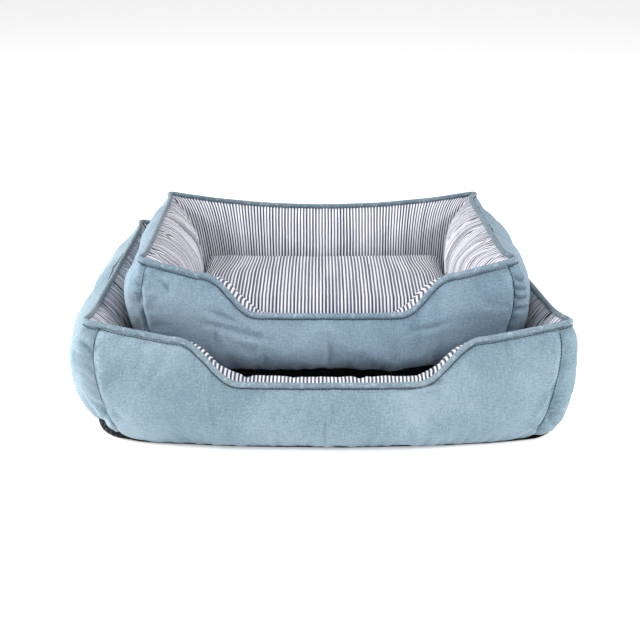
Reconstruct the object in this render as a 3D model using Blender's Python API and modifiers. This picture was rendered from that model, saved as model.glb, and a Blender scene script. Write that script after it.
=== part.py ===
"""Two rectangular bolster pet beds of one design, the smaller one standing in the larger one.

Each bed is a low padded ring of four walls on a flat base, with a loose seat cushion.
A wall is an outer cover, a striped lining and a fibre filling, and the two cloths meet
at the top seam, which carries a piped edge. The front wall dips in the middle to let the
animal in. The cushion has its own cover, filling and a zip along its rear edge.

Metres, +Z up. +X is the long side, and the front with the dip faces -Y.
"""

import math

import bmesh
import bpy
from mathutils import Matrix, Vector

# ---------------------------------------------------------------- driving sizes

LARGE = {
    "name": "large",
    "seam_length": 0.700,      # between the side walls' top seams
    "seam_depth": 0.596,       # between the front and back walls' top seams
    "front_height": 0.183,     # top seam at the front corners
    "back_height": 0.165,      # top seam at the back corners
    "back_sag": 0.018,         # how far the back seam hangs between its corners
    "dip_height": 0.096,       # top seam in the entrance
    "dip_half": 0.122,         # half of the entrance's level stretch
    "dip_run": 0.106,          # length of each slope up from the entrance
    "shoulder_drop": 0.020,    # how far the seam falls from a front corner to the slope
    "front_bow": 0.026,        # how far the front wall bows forward in its middle
    "front_swell": (0.020, 0.034, 0.080),   # outwards, inwards near the top, inwards low down
    "right_swell": (0.020, 0.020, 0.074),
    "back_swell": (0.034, 0.026, 0.080),
    "left_swell": (0.048, 0.020, 0.080),
    "base_out": -0.012,        # the base seam against the top seam, outwards
    "base_rim": 0.006,         # height of the base seam
    "back_right_slump": (-0.030, 0.0, -0.028),   # how far that corner has sunk at the top
    "back_left_slump": (0.004, 0.0, 0.0),
    "cushion_front": 0.060,    # from the front wall's top seam to the cushion's edge
    "cushion_back": 0.094,
    "cushion_side": 0.080,
    "cushion_crown": 0.0696,
}

NEST_LENGTH = 0.144            # how much shorter the smaller bed's seams are, to stand inside
NEST_DEPTH = 0.141

SMALL = {
    "name": "small",
    "seam_length": LARGE["seam_length"] - NEST_LENGTH,
    "seam_depth": LARGE["seam_depth"] - NEST_DEPTH,
    "front_height": 0.184,
    "back_height": 0.166,
    "back_sag": 0.024,
    "dip_height": 0.104,
    "dip_half": 0.100,
    "dip_run": 0.092,
    "shoulder_drop": 0.020,
    "front_bow": 0.020,
    "front_swell": (0.018, 0.050, 0.086),
    "right_swell": (0.030, 0.066, 0.092),
    "back_swell": (0.026, 0.040, 0.070),
    "left_swell": (0.022, 0.062, 0.092),
    "base_out": -0.014,
    "base_rim": 0.018,
    "back_right_slump": (0.0, 0.0, 0.0),
    "back_left_slump": (0.0, 0.0, 0.0),
    "cushion_front": 0.064,
    "cushion_back": 0.086,
    "cushion_side": 0.082,
    "cushion_crown": 0.090,
}

CLOTH = 0.0016                 # denim and lining
BASE_CLOTH = 0.0022            # the non-slip base fabric
PAD = 0.010                    # the foam sheet in the base
PAD_INSET = 0.024              # its edge, in from the base seam
GAP = 0.0004                   # between touching pieces
FILLING_ROOM = 0.0024          # between a wall's filling and its two cloths
FILLING_FOOT = 0.010           # how far the filling's flat underside stays from the lining
PIPING = 0.008                 # diameter of the piped edge
PIPING_SINK = 0.001            # how far it sits down over the top seam
PIPING_RISE = PIPING / 2 - PIPING_SINK
TOP_RADIUS = 0.026             # plan corner radius at the top seam
BASE_RADIUS = 0.055            # plan corner radius at the base seam
INNER_RADIUS = 0.012           # plan corner radius at the lining's lower edge
CORNER_SHARE = 0.55            # share of a wall's swelling that is left at its ends
SIDE_SEAM = 0.019              # how far the side covers reach round the corners
FLOOR_INSET = 0.050            # the lining's lower edge, in from the top seam
CUSHION_SEAM = 0.040           # height of the cushion's edge seam above the bed's base
ZIP_SHARE = 0.62               # length of the zip over the cushion's length

ZIP_TAPE = 0.024               # height of the zip's tape
TEETH = 0.005                  # height of the closed teeth
SLIDER = (0.012, 0.0042, 0.010)
PULL = (0.016, 0.0016, 0.0065)
PULL_EYE = 0.0008              # how far the pull reaches past its pivot
SLIDER_START = 0.012           # the slider's middle from the end of the zip
DEEP = 5                       # rows of a cover between its seams
AROUND = 24                    # points round a cushion's edge
CUSHION_CORNER = 0.30          # power of the cushion's outline: 1 an ellipse, 0 a rectangle

DENIM = (0.36, 0.50, 0.60)
TICKING = (0.74, 0.75, 0.80)
BLACK = (0.012, 0.012, 0.014)
FIBRE = (0.88, 0.88, 0.86)
METAL = (0.55, 0.56, 0.58)
ZIP_CLOTH = (0.30, 0.42, 0.52)

WALLS = {                      # name: (direction along the wall, direction outwards)
    "front": ((1, 0), (0, -1)),
    "right": ((0, 1), (1, 0)),
    "back": ((-1, 0), (0, 1)),
    "left": ((0, -1), (-1, 0)),
}


# ---------------------------------------------------------------- Blender helpers

def clear_scene():
    for obj in list(bpy.data.objects):
        bpy.data.objects.remove(obj)


def collection(name):
    made = bpy.data.collections.new(name)
    bpy.context.scene.collection.children.link(made)
    return made


def material(name, colour, roughness, metallic=0.0):
    made = bpy.data.materials.get(name)
    if made is None:
        made = bpy.data.materials.new(name)
        made.use_nodes = True
        shader = made.node_tree.nodes["Principled BSDF"]
        shader.inputs["Base Color"].default_value = (*colour, 1)
        shader.inputs["Roughness"].default_value = roughness
        shader.inputs["Metallic"].default_value = metallic
    return made


def finishes():
    return {
        "denim": material("denim", DENIM, 0.9),
        "ticking": material("ticking", TICKING, 0.9),
        "base": material("base", BLACK, 0.8),
        "fibre": material("fibre", FIBRE, 1.0),
        "metal": material("metal", METAL, 0.35, 1.0),
        "zip": material("zip", ZIP_CLOTH, 0.8),
    }


class Bench:
    """Where a bed's pieces are put: its collection, its name's prefix and its empty."""

    def __init__(self, bed, stands_at, finish, group):
        self.bed = bed
        self.finish = finish
        self.group = group
        self.root = bpy.data.objects.new(bed["name"] + "_bed", None)
        self.root.location.z = stands_at
        group.objects.link(self.root)

    def add(self, name, data, finish, parent=None, place=(0, 0, 0)):
        obj = bpy.data.objects.new(f"{self.bed['name']}_{name}", data)
        self.group.objects.link(obj)
        obj.parent = parent or self.root
        obj.location = place
        data.materials.append(self.finish[finish])
        return obj


def mesh_of(points, faces, closed=False):
    mesh = bpy.data.meshes.new("mesh")
    mesh.from_pydata(points, [], faces)
    if closed:
        shape = bmesh.new()
        shape.from_mesh(mesh)
        bmesh.ops.recalc_face_normals(shape, faces=shape.faces)
        shape.to_mesh(mesh)
        shape.free()
    mesh.shade_smooth()
    return mesh


def grid_mesh(rows):
    """A surface through rows of points, every row as long as the others."""
    wide = len(rows[0])
    points = [p for row in rows for p in row]
    faces = []
    for i in range(len(rows) - 1):
        for j in range(wide - 1):
            a = i * wide + j
            faces.append((a, a + 1, a + wide + 1, a + wide))
    return mesh_of(points, faces)


def loft_mesh(rings):
    """A closed solid through closed rings, each end shut by one flat face."""
    around = len(rings[0])
    points = [p for ring in rings for p in ring]
    faces = []
    for i in range(len(rings) - 1):
        for j in range(around):
            k = (j + 1) % around
            a, b = i * around, (i + 1) * around
            faces.append((a + j, b + j, b + k, a + k))
    faces.append(tuple(range(around)))
    faces.append(tuple((len(rings) - 1) * around + j for j in reversed(range(around))))
    return mesh_of(points, faces, closed=True)


def thicken(obj, thickness, inward=-1.0):
    solid = obj.modifiers.new("Solidify", "SOLIDIFY")
    solid.thickness = thickness
    solid.offset = inward
    solid.use_even_offset = False
    return obj


def tube(name, points, radius, closed=False):
    curve = bpy.data.curves.new(name, "CURVE")
    curve.dimensions = "3D"
    curve.bevel_depth = radius
    curve.bevel_resolution = 1
    curve.use_fill_caps = True
    spline = curve.splines.new("POLY")
    spline.points.add(len(points) - 1)
    for point, place in zip(spline.points, points):
        point.co = (*place, 1)
    spline.use_cyclic_u = closed
    return curve


def plate(name, outline, thickness):
    """A flat plate about height 0 from the points round it, as a filled 2D curve."""
    curve = bpy.data.curves.new(name, "CURVE")
    curve.dimensions = "2D"
    curve.fill_mode = "BOTH"
    curve.extrude = thickness / 2
    spline = curve.splines.new("POLY")
    spline.points.add(len(outline) - 1)
    for point, place in zip(spline.points, outline):
        point.co = (place[0], place[1], 0, 1)
    spline.use_cyclic_u = True
    return curve


# ---------------------------------------------------------------- the walls' shape

def mix(a, b, share):
    return a + (b - a) * share


def smooth(x):
    """An S from 0 to 1 with a steep middle."""
    x = min(1.0, max(0.0, x))
    return x ** 3 * (10 - 15 * x + 6 * x * x)


def bezier(p0, p1, p2, p3, t):
    """A point of a cubic curve in the plane of a wall's section."""
    w = ((1 - t) ** 3, 3 * t * (1 - t) ** 2, 3 * t * t * (1 - t), t ** 3)
    return tuple(sum(k * p[i] for k, p in zip(w, (p0, p1, p2, p3))) for i in (0, 1))


def half_sizes(bed, wall):
    """(half of the wall's length, its distance from the bed's middle), at the top seam."""
    halves = bed["seam_length"] / 2, bed["seam_depth"] / 2
    return halves if wall in ("front", "back") else halves[::-1]


def seam_height(bed, wall, s):
    """Height of the top seam, s running from -1 to 1 along the wall."""
    if wall == "front":
        x = abs(s) * half_sizes(bed, wall)[0]
        shoulder = bed["front_height"] - bed["shoulder_drop"]
        slope_end = bed["dip_half"] + bed["dip_run"]
        if x <= slope_end:
            share = smooth((x - bed["dip_half"]) / bed["dip_run"])
            return mix(bed["dip_height"], shoulder, share)
        share = (x - slope_end) / (half_sizes(bed, wall)[0] - slope_end)
        return mix(shoulder, bed["front_height"], share)
    if wall == "back":
        return bed["back_height"] - bed["back_sag"] * (1 - s * s)
    to_back = (1 + s) / 2 if wall == "right" else (1 - s) / 2
    return mix(bed["front_height"], bed["back_height"], to_back)


def swell(bed, wall, s, which):
    """A wall's swelling at s: full in the middle, and less where it meets its neighbour."""
    order = list(WALLS)
    neighbour = order[(order.index(wall) + (1 if s > 0 else -1)) % 4]
    full = bed[wall + "_swell"][which]
    corner = CORNER_SHARE * (full + bed[neighbour + "_swell"][which]) / 2
    return mix(corner, full, 1 - s ** 4)


def outer_curve(bed, wall, s, t):
    """(outward offset, height) of the outer cover, t from the base seam to the top seam."""
    height = seam_height(bed, wall, s)
    bulge = swell(bed, wall, s, 0)
    low, rim = bed["base_out"], bed["base_rim"]
    return bezier(
        (low, rim),
        (low + 1.5 * bulge, mix(rim, height, 0.10)),
        (1.35 * bulge, mix(rim, height, 0.72)),
        (0, height),
        t,
    )


def inner_curve(bed, wall, s, t):
    """(outward offset, height) of the lining, t from the top seam to the well's floor."""
    height = seam_height(bed, wall, s)
    floor = BASE_CLOTH + PAD + CLOTH + 3 * GAP
    high, low = (swell(bed, wall, s, which) for which in (1, 2))
    return bezier(
        (0, height),
        (-high, mix(floor, height, 1.02)),
        (-mix(FLOOR_INSET, low, 1.5), mix(floor, height, 0.30)),
        (-FLOOR_INSET, floor),
        t,
    )


def slump(bed, point):
    """Let the back corners sink as the soft ring of walls does, nothing at the base."""
    share = smooth(point.z / bed["front_height"])
    right = min(1.0, max(0.0, 0.5 + point.x / bed["seam_length"]))
    back = min(1.0, max(0.0, 0.5 + point.y / bed["seam_depth"]))
    shift = Vector(bed["back_right_slump"]) * right + Vector(bed["back_left_slump"]) * (1 - right)
    return point + shift * (back * share)


def place(bed, wall, s, offset, height, radius):
    """The point at s along a wall, offset outwards from its top seam's line.

    Both ends of every offset lie on the bed's diagonals, so neighbours meet there, and the
    corner between them is rounded to the radius."""
    along, out = (Vector(v) for v in WALLS[wall])
    half, distance = half_sizes(bed, wall)
    end_drop = radius * (1 - math.sqrt(0.5))
    into = min(radius, max(0.0, abs(s) * (half - end_drop) - (half - radius)))
    drop = radius - math.sqrt(radius * radius - into * into)
    bow = bed["front_bow"] * (1 - s * s) if wall == "front" else 0.0
    spot = along * (s * (half - end_drop + offset)) + out * (distance - drop + offset + bow)
    return slump(bed, Vector((spot.x, spot.y, height)))


def inset_curve(curve, bed, wall, s, t, inset):
    """A point of a section's curve, moved square to the curve into the wall."""
    offset, height = curve(bed, wall, s, t)
    before, after = (curve(bed, wall, s, min(1.0, max(0.0, t + d))) for d in (-0.01, 0.01))
    across = (before[1] - after[1], after[0] - before[0])
    length = math.hypot(*across)
    return offset + inset * across[0] / length, height + inset * across[1] / length


def outer_point(bed, wall, s, t, inset=0.0):
    offset, height = inset_curve(outer_curve, bed, wall, s, t, inset)
    return place(bed, wall, s, offset, height, mix(BASE_RADIUS, TOP_RADIUS, t))


def inner_point(bed, wall, s, t, inset=0.0):
    offset, height = inset_curve(inner_curve, bed, wall, s, t, inset)
    return place(bed, wall, s, offset, height, mix(TOP_RADIUS, INNER_RADIUS, t))


def mitre(bed, wall, gap):
    """How far along a wall its pieces go, to leave a gap to the corner's diagonal."""
    return 1 - gap / half_sizes(bed, wall)[0]


def steps(start, end, count):
    return [mix(start, end, i / count) for i in range(count + 1)]


def stations(bed, wall, limit=1.0):
    """Places along a wall, closer together where its seam bends: one list for all its pieces."""
    half = half_sizes(bed, wall)[0]
    rounding = 1 - TOP_RADIUS / half
    if wall == "front":
        level, run = bed["dip_half"] / half, bed["dip_run"] / half
        side = [level / 2, level] + [level + run * k for k in (0.28, 0.5, 0.72, 1)]
        side.append((level + run + rounding) / 2)
    else:
        side = [rounding / 2]
    side += [rounding, mix(rounding, limit, 0.5)]
    return [-limit] + [-x for x in reversed(side)] + [0.0] + side + [limit]


def side_seam(bed, wall):
    """Where on the front or back wall the side cover ends."""
    return 1 - SIDE_SEAM / half_sizes(bed, wall)[0]


def beside_piping(bed, wall, s, curve, ts):
    """The first of the places on a section's curve that is clear of the piping.

    Where the seam slopes, the piping's section is longer upright by the slope's stretch."""
    centre = seam_height(bed, wall, s) + PIPING_RISE
    rise = seam_height(bed, wall, s + 0.01) - seam_height(bed, wall, s - 0.01)
    stretch = math.hypot(1, rise / (0.02 * half_sizes(bed, wall)[0]))
    for t in ts:
        offset, height = curve(bed, wall, s, t)
        if math.hypot(offset, height - centre) > (PIPING / 2 + 1.6 * GAP) * stretch:
            return t
    return ts[-1]


def outer_rows(bed, wall, s):
    """Places up the outer cover, from the base seam to the piping."""
    top = beside_piping(bed, wall, s, outer_curve, steps(1.0, 0.8, 200))
    return steps(0.0, top, DEEP)


def inner_rows(bed, wall, s):
    """Places down the lining, from the piping to the well's floor."""
    top = beside_piping(bed, wall, s, inner_curve, steps(0.0, 0.3, 300))
    return steps(top, 1.0, DEEP)


# ---------------------------------------------------------------- the bed's pieces

def outer_cover(bench, wall):
    """The front and back covers end at upright seams; the side covers go round the corners."""
    bed = bench.bed
    if wall in ("front", "back"):
        seam = side_seam(bed, wall) - 3 * GAP / half_sizes(bed, wall)[0]
        path = [(wall, s) for s in stations(bed, wall, seam)]
    else:
        order = list(WALLS)
        before = order[order.index(wall) - 1]
        after = order[(order.index(wall) + 1) % 4]
        first, last = side_seam(bed, before), side_seam(bed, after)
        path = [(before, first), (before, mix(first, 1, 0.5))]
        path += [(wall, s) for s in stations(bed, wall)]
        path += [(after, -mix(last, 1, 0.5)), (after, -last)]
    columns = [[outer_point(bed, w, s, t) for t in outer_rows(bed, w, s)] for w, s in path]
    mesh = grid_mesh([list(row) for row in zip(*columns)])
    return thicken(bench.add("outer_" + wall, mesh, "denim"), CLOTH)


def lining(bench, wall):
    bed = bench.bed
    columns = []
    for s in stations(bed, wall, mitre(bed, wall, 3 * GAP)):
        columns.append([inner_point(bed, wall, s, t) for t in inner_rows(bed, wall, s)])
    mesh = grid_mesh([list(row) for row in zip(*columns)])
    return thicken(bench.add("lining_" + wall, mesh, "ticking"), CLOTH)


def filling(bench, wall):
    """The fibre in one wall, mitred to its neighbours at the corners."""
    bed = bench.bed
    inset = CLOTH + FILLING_ROOM
    bottom = BASE_CLOTH + PAD + 2 * GAP
    rings = []
    for s in stations(bed, wall, mitre(bed, wall, 5 * GAP)):
        up = [outer_point(bed, wall, s, t, inset) for t in outer_rows(bed, wall, s)]
        down = [inner_point(bed, wall, s, t, inset) for t in inner_rows(bed, wall, s)]
        up[-1] = up[-2].lerp(up[-1], 0.4)
        down[0] = down[1].lerp(down[0], 0.4)
        for p in up:
            p.z = max(p.z, bottom)
        foot = place(bed, wall, s, FILLING_FOOT - FLOOR_INSET, bottom, INNER_RADIUS)
        rings.append(up + down + [foot])
    return bench.add("filling_" + wall, loft_mesh(rings), "fibre")


def plan_outline(bed, offset, height, radius):
    """Points round the bed at an offset outwards from its top seam."""
    ring = []
    for wall in WALLS:
        ring += [place(bed, wall, s, offset, height, radius) for s in stations(bed, wall)[:-1]]
    return ring


def base_fabric(bench):
    """The black non-slip bottom, turned up at its edge to the base seam."""
    bed = bench.bed
    rim = bed["base_rim"] - CLOTH
    turn = 0.003 + 0.6 * rim
    rings = []
    for k in range(4):
        angle = k / 3 * math.pi / 2
        height = rim * (1 - math.cos(angle))
        inset = turn * (1 - math.sin(angle)) + GAP
        rings.append(plan_outline(bed, bed["base_out"] - inset, height, BASE_RADIUS - inset))
    around = len(rings[0])
    faces = [tuple(reversed(range(around)))]
    for i in range(3):
        for j in range(around):
            k = (j + 1) % around
            a, b = i * around, (i + 1) * around
            faces.append((a + j, a + k, b + k, b + j))
    mesh = mesh_of([p for ring in rings for p in ring], faces)
    return thicken(bench.add("base_fabric", mesh, "base"), BASE_CLOTH)


def base_pad(bench):
    bed = bench.bed
    outline = plan_outline(bed, bed["base_out"] - PAD_INSET, 0, BASE_RADIUS - PAD_INSET)
    height = BASE_CLOTH + GAP + PAD / 2
    return bench.add("base_pad", plate("base_pad", outline, PAD), "fibre", place=(0, 0, height))


def well_floor(bench):
    """The lining cloth that the seat cushion lies on."""
    bed = bench.bed
    outline = plan_outline(bed, -FLOOR_INSET - 2 * CLOTH, 0, INNER_RADIUS)
    height = BASE_CLOTH + PAD + 2 * GAP + CLOTH / 2
    floor = plate("well_floor", outline, CLOTH)
    return bench.add("well_floor", floor, "ticking", place=(0, 0, height))


def piping(bench, name, path):
    """A corded edge along the top seam, standing on the two cloths."""
    bed = bench.bed
    points = []
    for wall, s in path:
        height = seam_height(bed, wall, s) + PIPING_RISE
        points.append(place(bed, wall, s, 0.0, height, TOP_RADIUS))
    return bench.add(name, tube(name, points, PIPING / 2), "denim")


def piping_runs(bench):
    """One run along the front, and one round the sides and back that stops short of it."""
    bed = bench.bed
    end = mitre(bed, "front", 0.006)
    piping(bench, "piping_front", [("front", s) for s in stations(bed, "front", end)])
    stop = mitre(bed, "right", 0.016)
    rim = [("right", s) for s in stations(bed, "right", stop)]
    rim += [("back", s) for s in stations(bed, "back")]
    rim += [("left", s) for s in stations(bed, "left", stop)]
    corner = mitre(bed, "right", 0.003)
    rim = [(wall, max(-1, s)) for wall, s in rim if not (wall == "left" and s < -corner)]
    piping(bench, "piping_rim", rim)


# ---------------------------------------------------------------- the seat cushion

def cushion_halves(bed):
    """Half of the cushion's length and half of its depth."""
    across = bed["seam_depth"] - bed["cushion_front"] - bed["cushion_back"]
    return bed["seam_length"] / 2 - bed["cushion_side"], across / 2


def cushion_outline(bed, share, inset=0.0):
    """A ring of the cushion at a share of its half sizes: a rectangle with soft corners."""
    half_length, half_depth = cushion_halves(bed)
    ring = []
    for i in range(AROUND):
        angle = 2 * math.pi * i / AROUND
        c, s = math.cos(angle), math.sin(angle)
        c, s = (math.copysign(abs(v) ** CUSHION_CORNER, v) for v in (c, s))
        ring.append(((half_length - inset) * share * c, (half_depth - inset) * share * s))
    return ring


def cushion_rings(bed, edge, peak, inset=0.0):
    """Rings from the edge seam to the middle, rising from edge to peak like a stuffed pad."""
    rings = []
    for share in (1.0, 0.98, 0.93, 0.80, 0.45):
        lift = math.sqrt(1 - share ** 8)
        height = mix(edge, peak, lift)
        rings.append([Vector((x, y, height)) for x, y in cushion_outline(bed, share, inset)])
    return rings


def dome_mesh(rings, upward):
    around = len(rings[0])
    points = [p for ring in rings for p in ring]
    faces = []
    for i in range(len(rings) - 1):
        for j in range(around):
            k = (j + 1) % around
            a, b = i * around, (i + 1) * around
            faces.append((a + j, a + k, b + k, b + j))
    last = (len(rings) - 1) * around
    faces.append(tuple(last + j for j in range(around)))
    if not upward:
        faces = [tuple(reversed(face)) for face in faces]
    return mesh_of(points, faces)


def cushion(bench):
    """The seat cushion's two cover panels and its filling, on an empty of their own."""
    bed = bench.bed
    empty = bpy.data.objects.new(bed["name"] + "_cushion_frame", None)
    bench.group.objects.link(empty)
    empty.parent = bench.root
    empty.location.y = (bed["cushion_front"] - bed["cushion_back"]) / 2
    bottom = BASE_CLOTH + PAD + CLOTH + 3 * GAP
    meet = GAP + 0.4 * CLOTH
    top = cushion_rings(bed, CUSHION_SEAM + meet, bed["cushion_crown"])
    under = cushion_rings(bed, CUSHION_SEAM - meet, bottom)
    thicken(bench.add("cushion_top", dome_mesh(top, True), "ticking", empty), CLOTH)
    thicken(bench.add("cushion_underside", dome_mesh(under, False), "ticking", empty), CLOTH)
    inset = CLOTH + 2 * GAP
    upper = cushion_rings(bed, CUSHION_SEAM + 0.001, bed["cushion_crown"] - inset, inset + 0.002)
    lower = cushion_rings(bed, CUSHION_SEAM - 0.001, bottom + inset, inset + 0.002)
    rings = list(reversed(lower)) + upper
    bench.add("cushion_filling", loft_mesh(rings), "fibre", empty)
    return empty


def box(name, size):
    """A box mesh of the given full size, centred on its origin."""
    bpy.ops.mesh.primitive_cube_add(size=1)
    obj = bpy.context.object
    mesh = obj.data
    bpy.data.objects.remove(obj)
    mesh.name = name
    mesh.transform(Matrix.Diagonal((*size, 1)))
    return mesh


def bevel(obj, width, segments=1):
    edge = obj.modifiers.new("Bevel", "BEVEL")
    edge.width = width
    edge.segments = segments
    return obj


def zip_fastener(bench, empty):
    """A closed zip along the cushion's rear edge, its slider at the left end."""
    bed = bench.bed
    half_length, half_depth = cushion_halves(bed)
    length = 2 * half_length * ZIP_SHARE
    back = half_depth + GAP
    tape_y = back + 0.0006
    tape = bench.add("zip_tape", box("zip_tape", (length, 0.0008, ZIP_TAPE)), "zip", empty,
                     (0, tape_y, CUSHION_SEAM))
    teeth_y = tape_y + 0.0004 + GAP + 0.0011
    teeth = bench.add("zip_teeth", box("zip_teeth", (length - 0.004, 0.0022, TEETH)), "zip",
                      empty, (0, teeth_y, CUSHION_SEAM))
    bevel(teeth, 0.0008)
    slider_y = teeth_y + 0.0011 + GAP + SLIDER[1] / 2
    slider_x = SLIDER_START - length / 2
    slider = bench.add("zip_slider", box("zip_slider", SLIDER), "metal", empty,
                       (slider_x, slider_y, CUSHION_SEAM))
    bevel(slider, 0.0012, 2)
    pin_y = slider_y + SLIDER[1] / 2 + GAP + PULL[1] / 2
    pin_x = slider_x + SLIDER[0] / 2 - 0.003
    pull_mesh = box("zip_pull", PULL)
    pull_mesh.transform(Matrix.Translation((PULL_EYE - PULL[0] / 2, 0, 0)))
    pull = bench.add("zip_pull", pull_mesh, "metal", empty, (pin_x, pin_y, CUSHION_SEAM))
    bevel(pull, 0.0005)
    return tape, teeth, slider, pull


# ---------------------------------------------------------------- assembly

def build_bed(bed, stands_at, finish):
    bench = Bench(bed, stands_at, finish, collection(bed["name"] + "_pet_bed"))
    for wall in WALLS:
        outer_cover(bench, wall)
        lining(bench, wall)
        filling(bench, wall)
    base_fabric(bench)
    base_pad(bench)
    well_floor(bench)
    piping_runs(bench)
    zip_fastener(bench, cushion(bench))
    return bench.root


def centre(roots):
    """Put the middle of the pair's outline over the origin."""
    bpy.context.view_layer.update()
    depsgraph = bpy.context.evaluated_depsgraph_get()
    corners = []
    for obj in bpy.data.objects:
        if obj.type == "MESH":      # the covers reach furthest, and a curve's box is padded
            box = obj.evaluated_get(depsgraph).bound_box
            corners += [obj.matrix_world @ Vector(corner) for corner in box]
    for root in roots:
        root.location.x -= (min(c.x for c in corners) + max(c.x for c in corners)) / 2
        root.location.y -= (min(c.y for c in corners) + max(c.y for c in corners)) / 2


def main():
    clear_scene()
    finish = finishes()
    large = build_bed(LARGE, 0.0, finish)
    small = build_bed(SMALL, LARGE["cushion_crown"] + GAP, finish)
    centre([large, small])


main()
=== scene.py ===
# Two nesting pet beds in pale denim, lined with striped ticking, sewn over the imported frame.

import math

import bmesh
import bpy
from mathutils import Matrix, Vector, noise


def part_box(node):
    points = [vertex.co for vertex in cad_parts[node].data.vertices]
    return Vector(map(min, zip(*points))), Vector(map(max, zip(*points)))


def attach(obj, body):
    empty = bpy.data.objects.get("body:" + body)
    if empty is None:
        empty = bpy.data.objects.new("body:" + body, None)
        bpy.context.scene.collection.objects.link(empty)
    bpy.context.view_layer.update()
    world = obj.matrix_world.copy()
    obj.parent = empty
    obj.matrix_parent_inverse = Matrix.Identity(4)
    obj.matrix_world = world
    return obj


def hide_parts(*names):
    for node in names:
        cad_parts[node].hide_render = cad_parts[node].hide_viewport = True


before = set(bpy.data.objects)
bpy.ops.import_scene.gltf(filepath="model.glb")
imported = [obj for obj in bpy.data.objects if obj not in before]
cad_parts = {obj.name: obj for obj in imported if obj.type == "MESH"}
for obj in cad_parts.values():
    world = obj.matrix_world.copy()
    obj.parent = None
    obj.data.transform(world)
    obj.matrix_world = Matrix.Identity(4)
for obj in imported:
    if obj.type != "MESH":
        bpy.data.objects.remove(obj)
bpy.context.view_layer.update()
print("frame loaded:", len(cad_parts), "nodes")

wallRuns = {                       # name: (direction along the wall, direction outwards)
    "front": ((1, 0), (0, -1)),
    "right": ((0, 1), (1, 0)),
    "back": ((-1, 0), (0, 1)),
    "left": ((0, -1), (-1, 0)),
}
wallOrder = list(wallRuns)

largeBed = {
    "name": "large",
    "frontHeight": 0.183,          # top seam at the front corners, over the bed's own base
    "backHeight": 0.165,
    "backSag": 0.018,
    "dipHeight": 0.096,            # top seam in the entrance
    "dipHalf": 0.122,
    "dipRun": 0.106,
    "shoulderDrop": 0.020,
    "frontBow": 0.026,
    "frontSwell": (0.020, 0.034, 0.080),     # outwards, inwards high up, inwards low down
    "rightSwell": (0.043, 0.020, 0.060),
    "backSwell": (0.034, 0.026, 0.080),
    "leftSwell": (0.062, 0.020, 0.070),
    "swellPower": {"left": 3.2, "right": 3.0},           # how evenly a wall stays full, if not as usual
    # the outward curve: fullness low down, fullness high up, height share of that upper fullness
    "belly": {"front": (1.3, 1.35, 0.70), "right": (0.0, 1.60, 0.88), "back": (1.3, 1.4, 0.70),
              "left": (0.0, 1.85, 0.86)},
    "drawnIn": {"left": 0.008, "right": 0.017},          # how far the stuffing pulls a rim inwards
    "liningRise": {"front": 0.010, "right": 0.004, "back": 0.004, "left": 0.004},
    "dipRise": 0.028,              # extra rise of the lining behind the entrance
    "dipPinches": (-0.130, 0.050),     # where the lining is nipped in the entrance
    "frontSeams": ((0.021, 0.036), (0.019, 0.034)),      # left, right: from the corner, top and hem
    "baseOut": -0.012,             # edge of the frame's base against the top seam
    "hemOut": {"front": -0.002, "right": -0.021, "back": -0.010, "left": -0.010},
    "hemRadius": 0.042,
    "baseRim": 0.0022,
    "rimWave": 0.0006,             # how unevenly the base seam runs
    "cornerTurn": 0.022,           # how high the base turns up at the front left corner
    "backRightSlump": (-0.030, 0.0, -0.028),
    "backLeftSlump": (0.004, 0.0, 0.0),
    "wrinkles": (                  # wall, place (on the sides: from the front seam), height,
                                   # length, width, slope, depth
        ("front", 0.135, 0.100, 0.030, 0.0034, 0.18, 0.0016),
        ("front", 0.150, 0.088, 0.022, 0.0030, 0.30, 0.0010),
        ("front", -0.248, 0.120, 0.026, 0.0040, 1.5, 0.0010),
        ("front", -0.335, 0.150, 0.014, 0.0030, 0.5, 0.0022),
        ("front", -0.330, 0.040, 0.020, 0.0040, -0.6, 0.0022),
        ("front", 0.318, 0.060, 0.022, 0.0036, 1.4, 0.0024),
        ("front", 0.312, 0.034, 0.020, 0.0034, 1.0, 0.0026),
        ("right", 0.012, 0.066, 0.018, 0.0034, 0.1, 0.0026),
        ("right", 0.010, 0.046, 0.016, 0.0034, -0.4, 0.0030),
        ("right", 0.014, 0.030, 0.014, 0.0030, -0.9, 0.0026),
        ("left", 0.014, 0.036, 0.018, 0.0040, -0.5, 0.0030),
        ("left", 0.012, 0.154, 0.014, 0.0030, 0.6, 0.0024),
        ("left", 0.016, 0.140, 0.012, 0.0028, 0.2, 0.0016),
    ),
    "cushionFront": 0.060,         # from the top seam to the seat
    "cushionBack": 0.094,
    "cushionSide": 0.080,
    "cushionCrown": 0.0696,
    "cushionPuff": 0.000,          # how far the seat may rise over its solid
    "fade": (0.76, 0.775, 0.78),   # how pale the denim is: red, green, blue
    "seed": 11,
}
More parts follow.
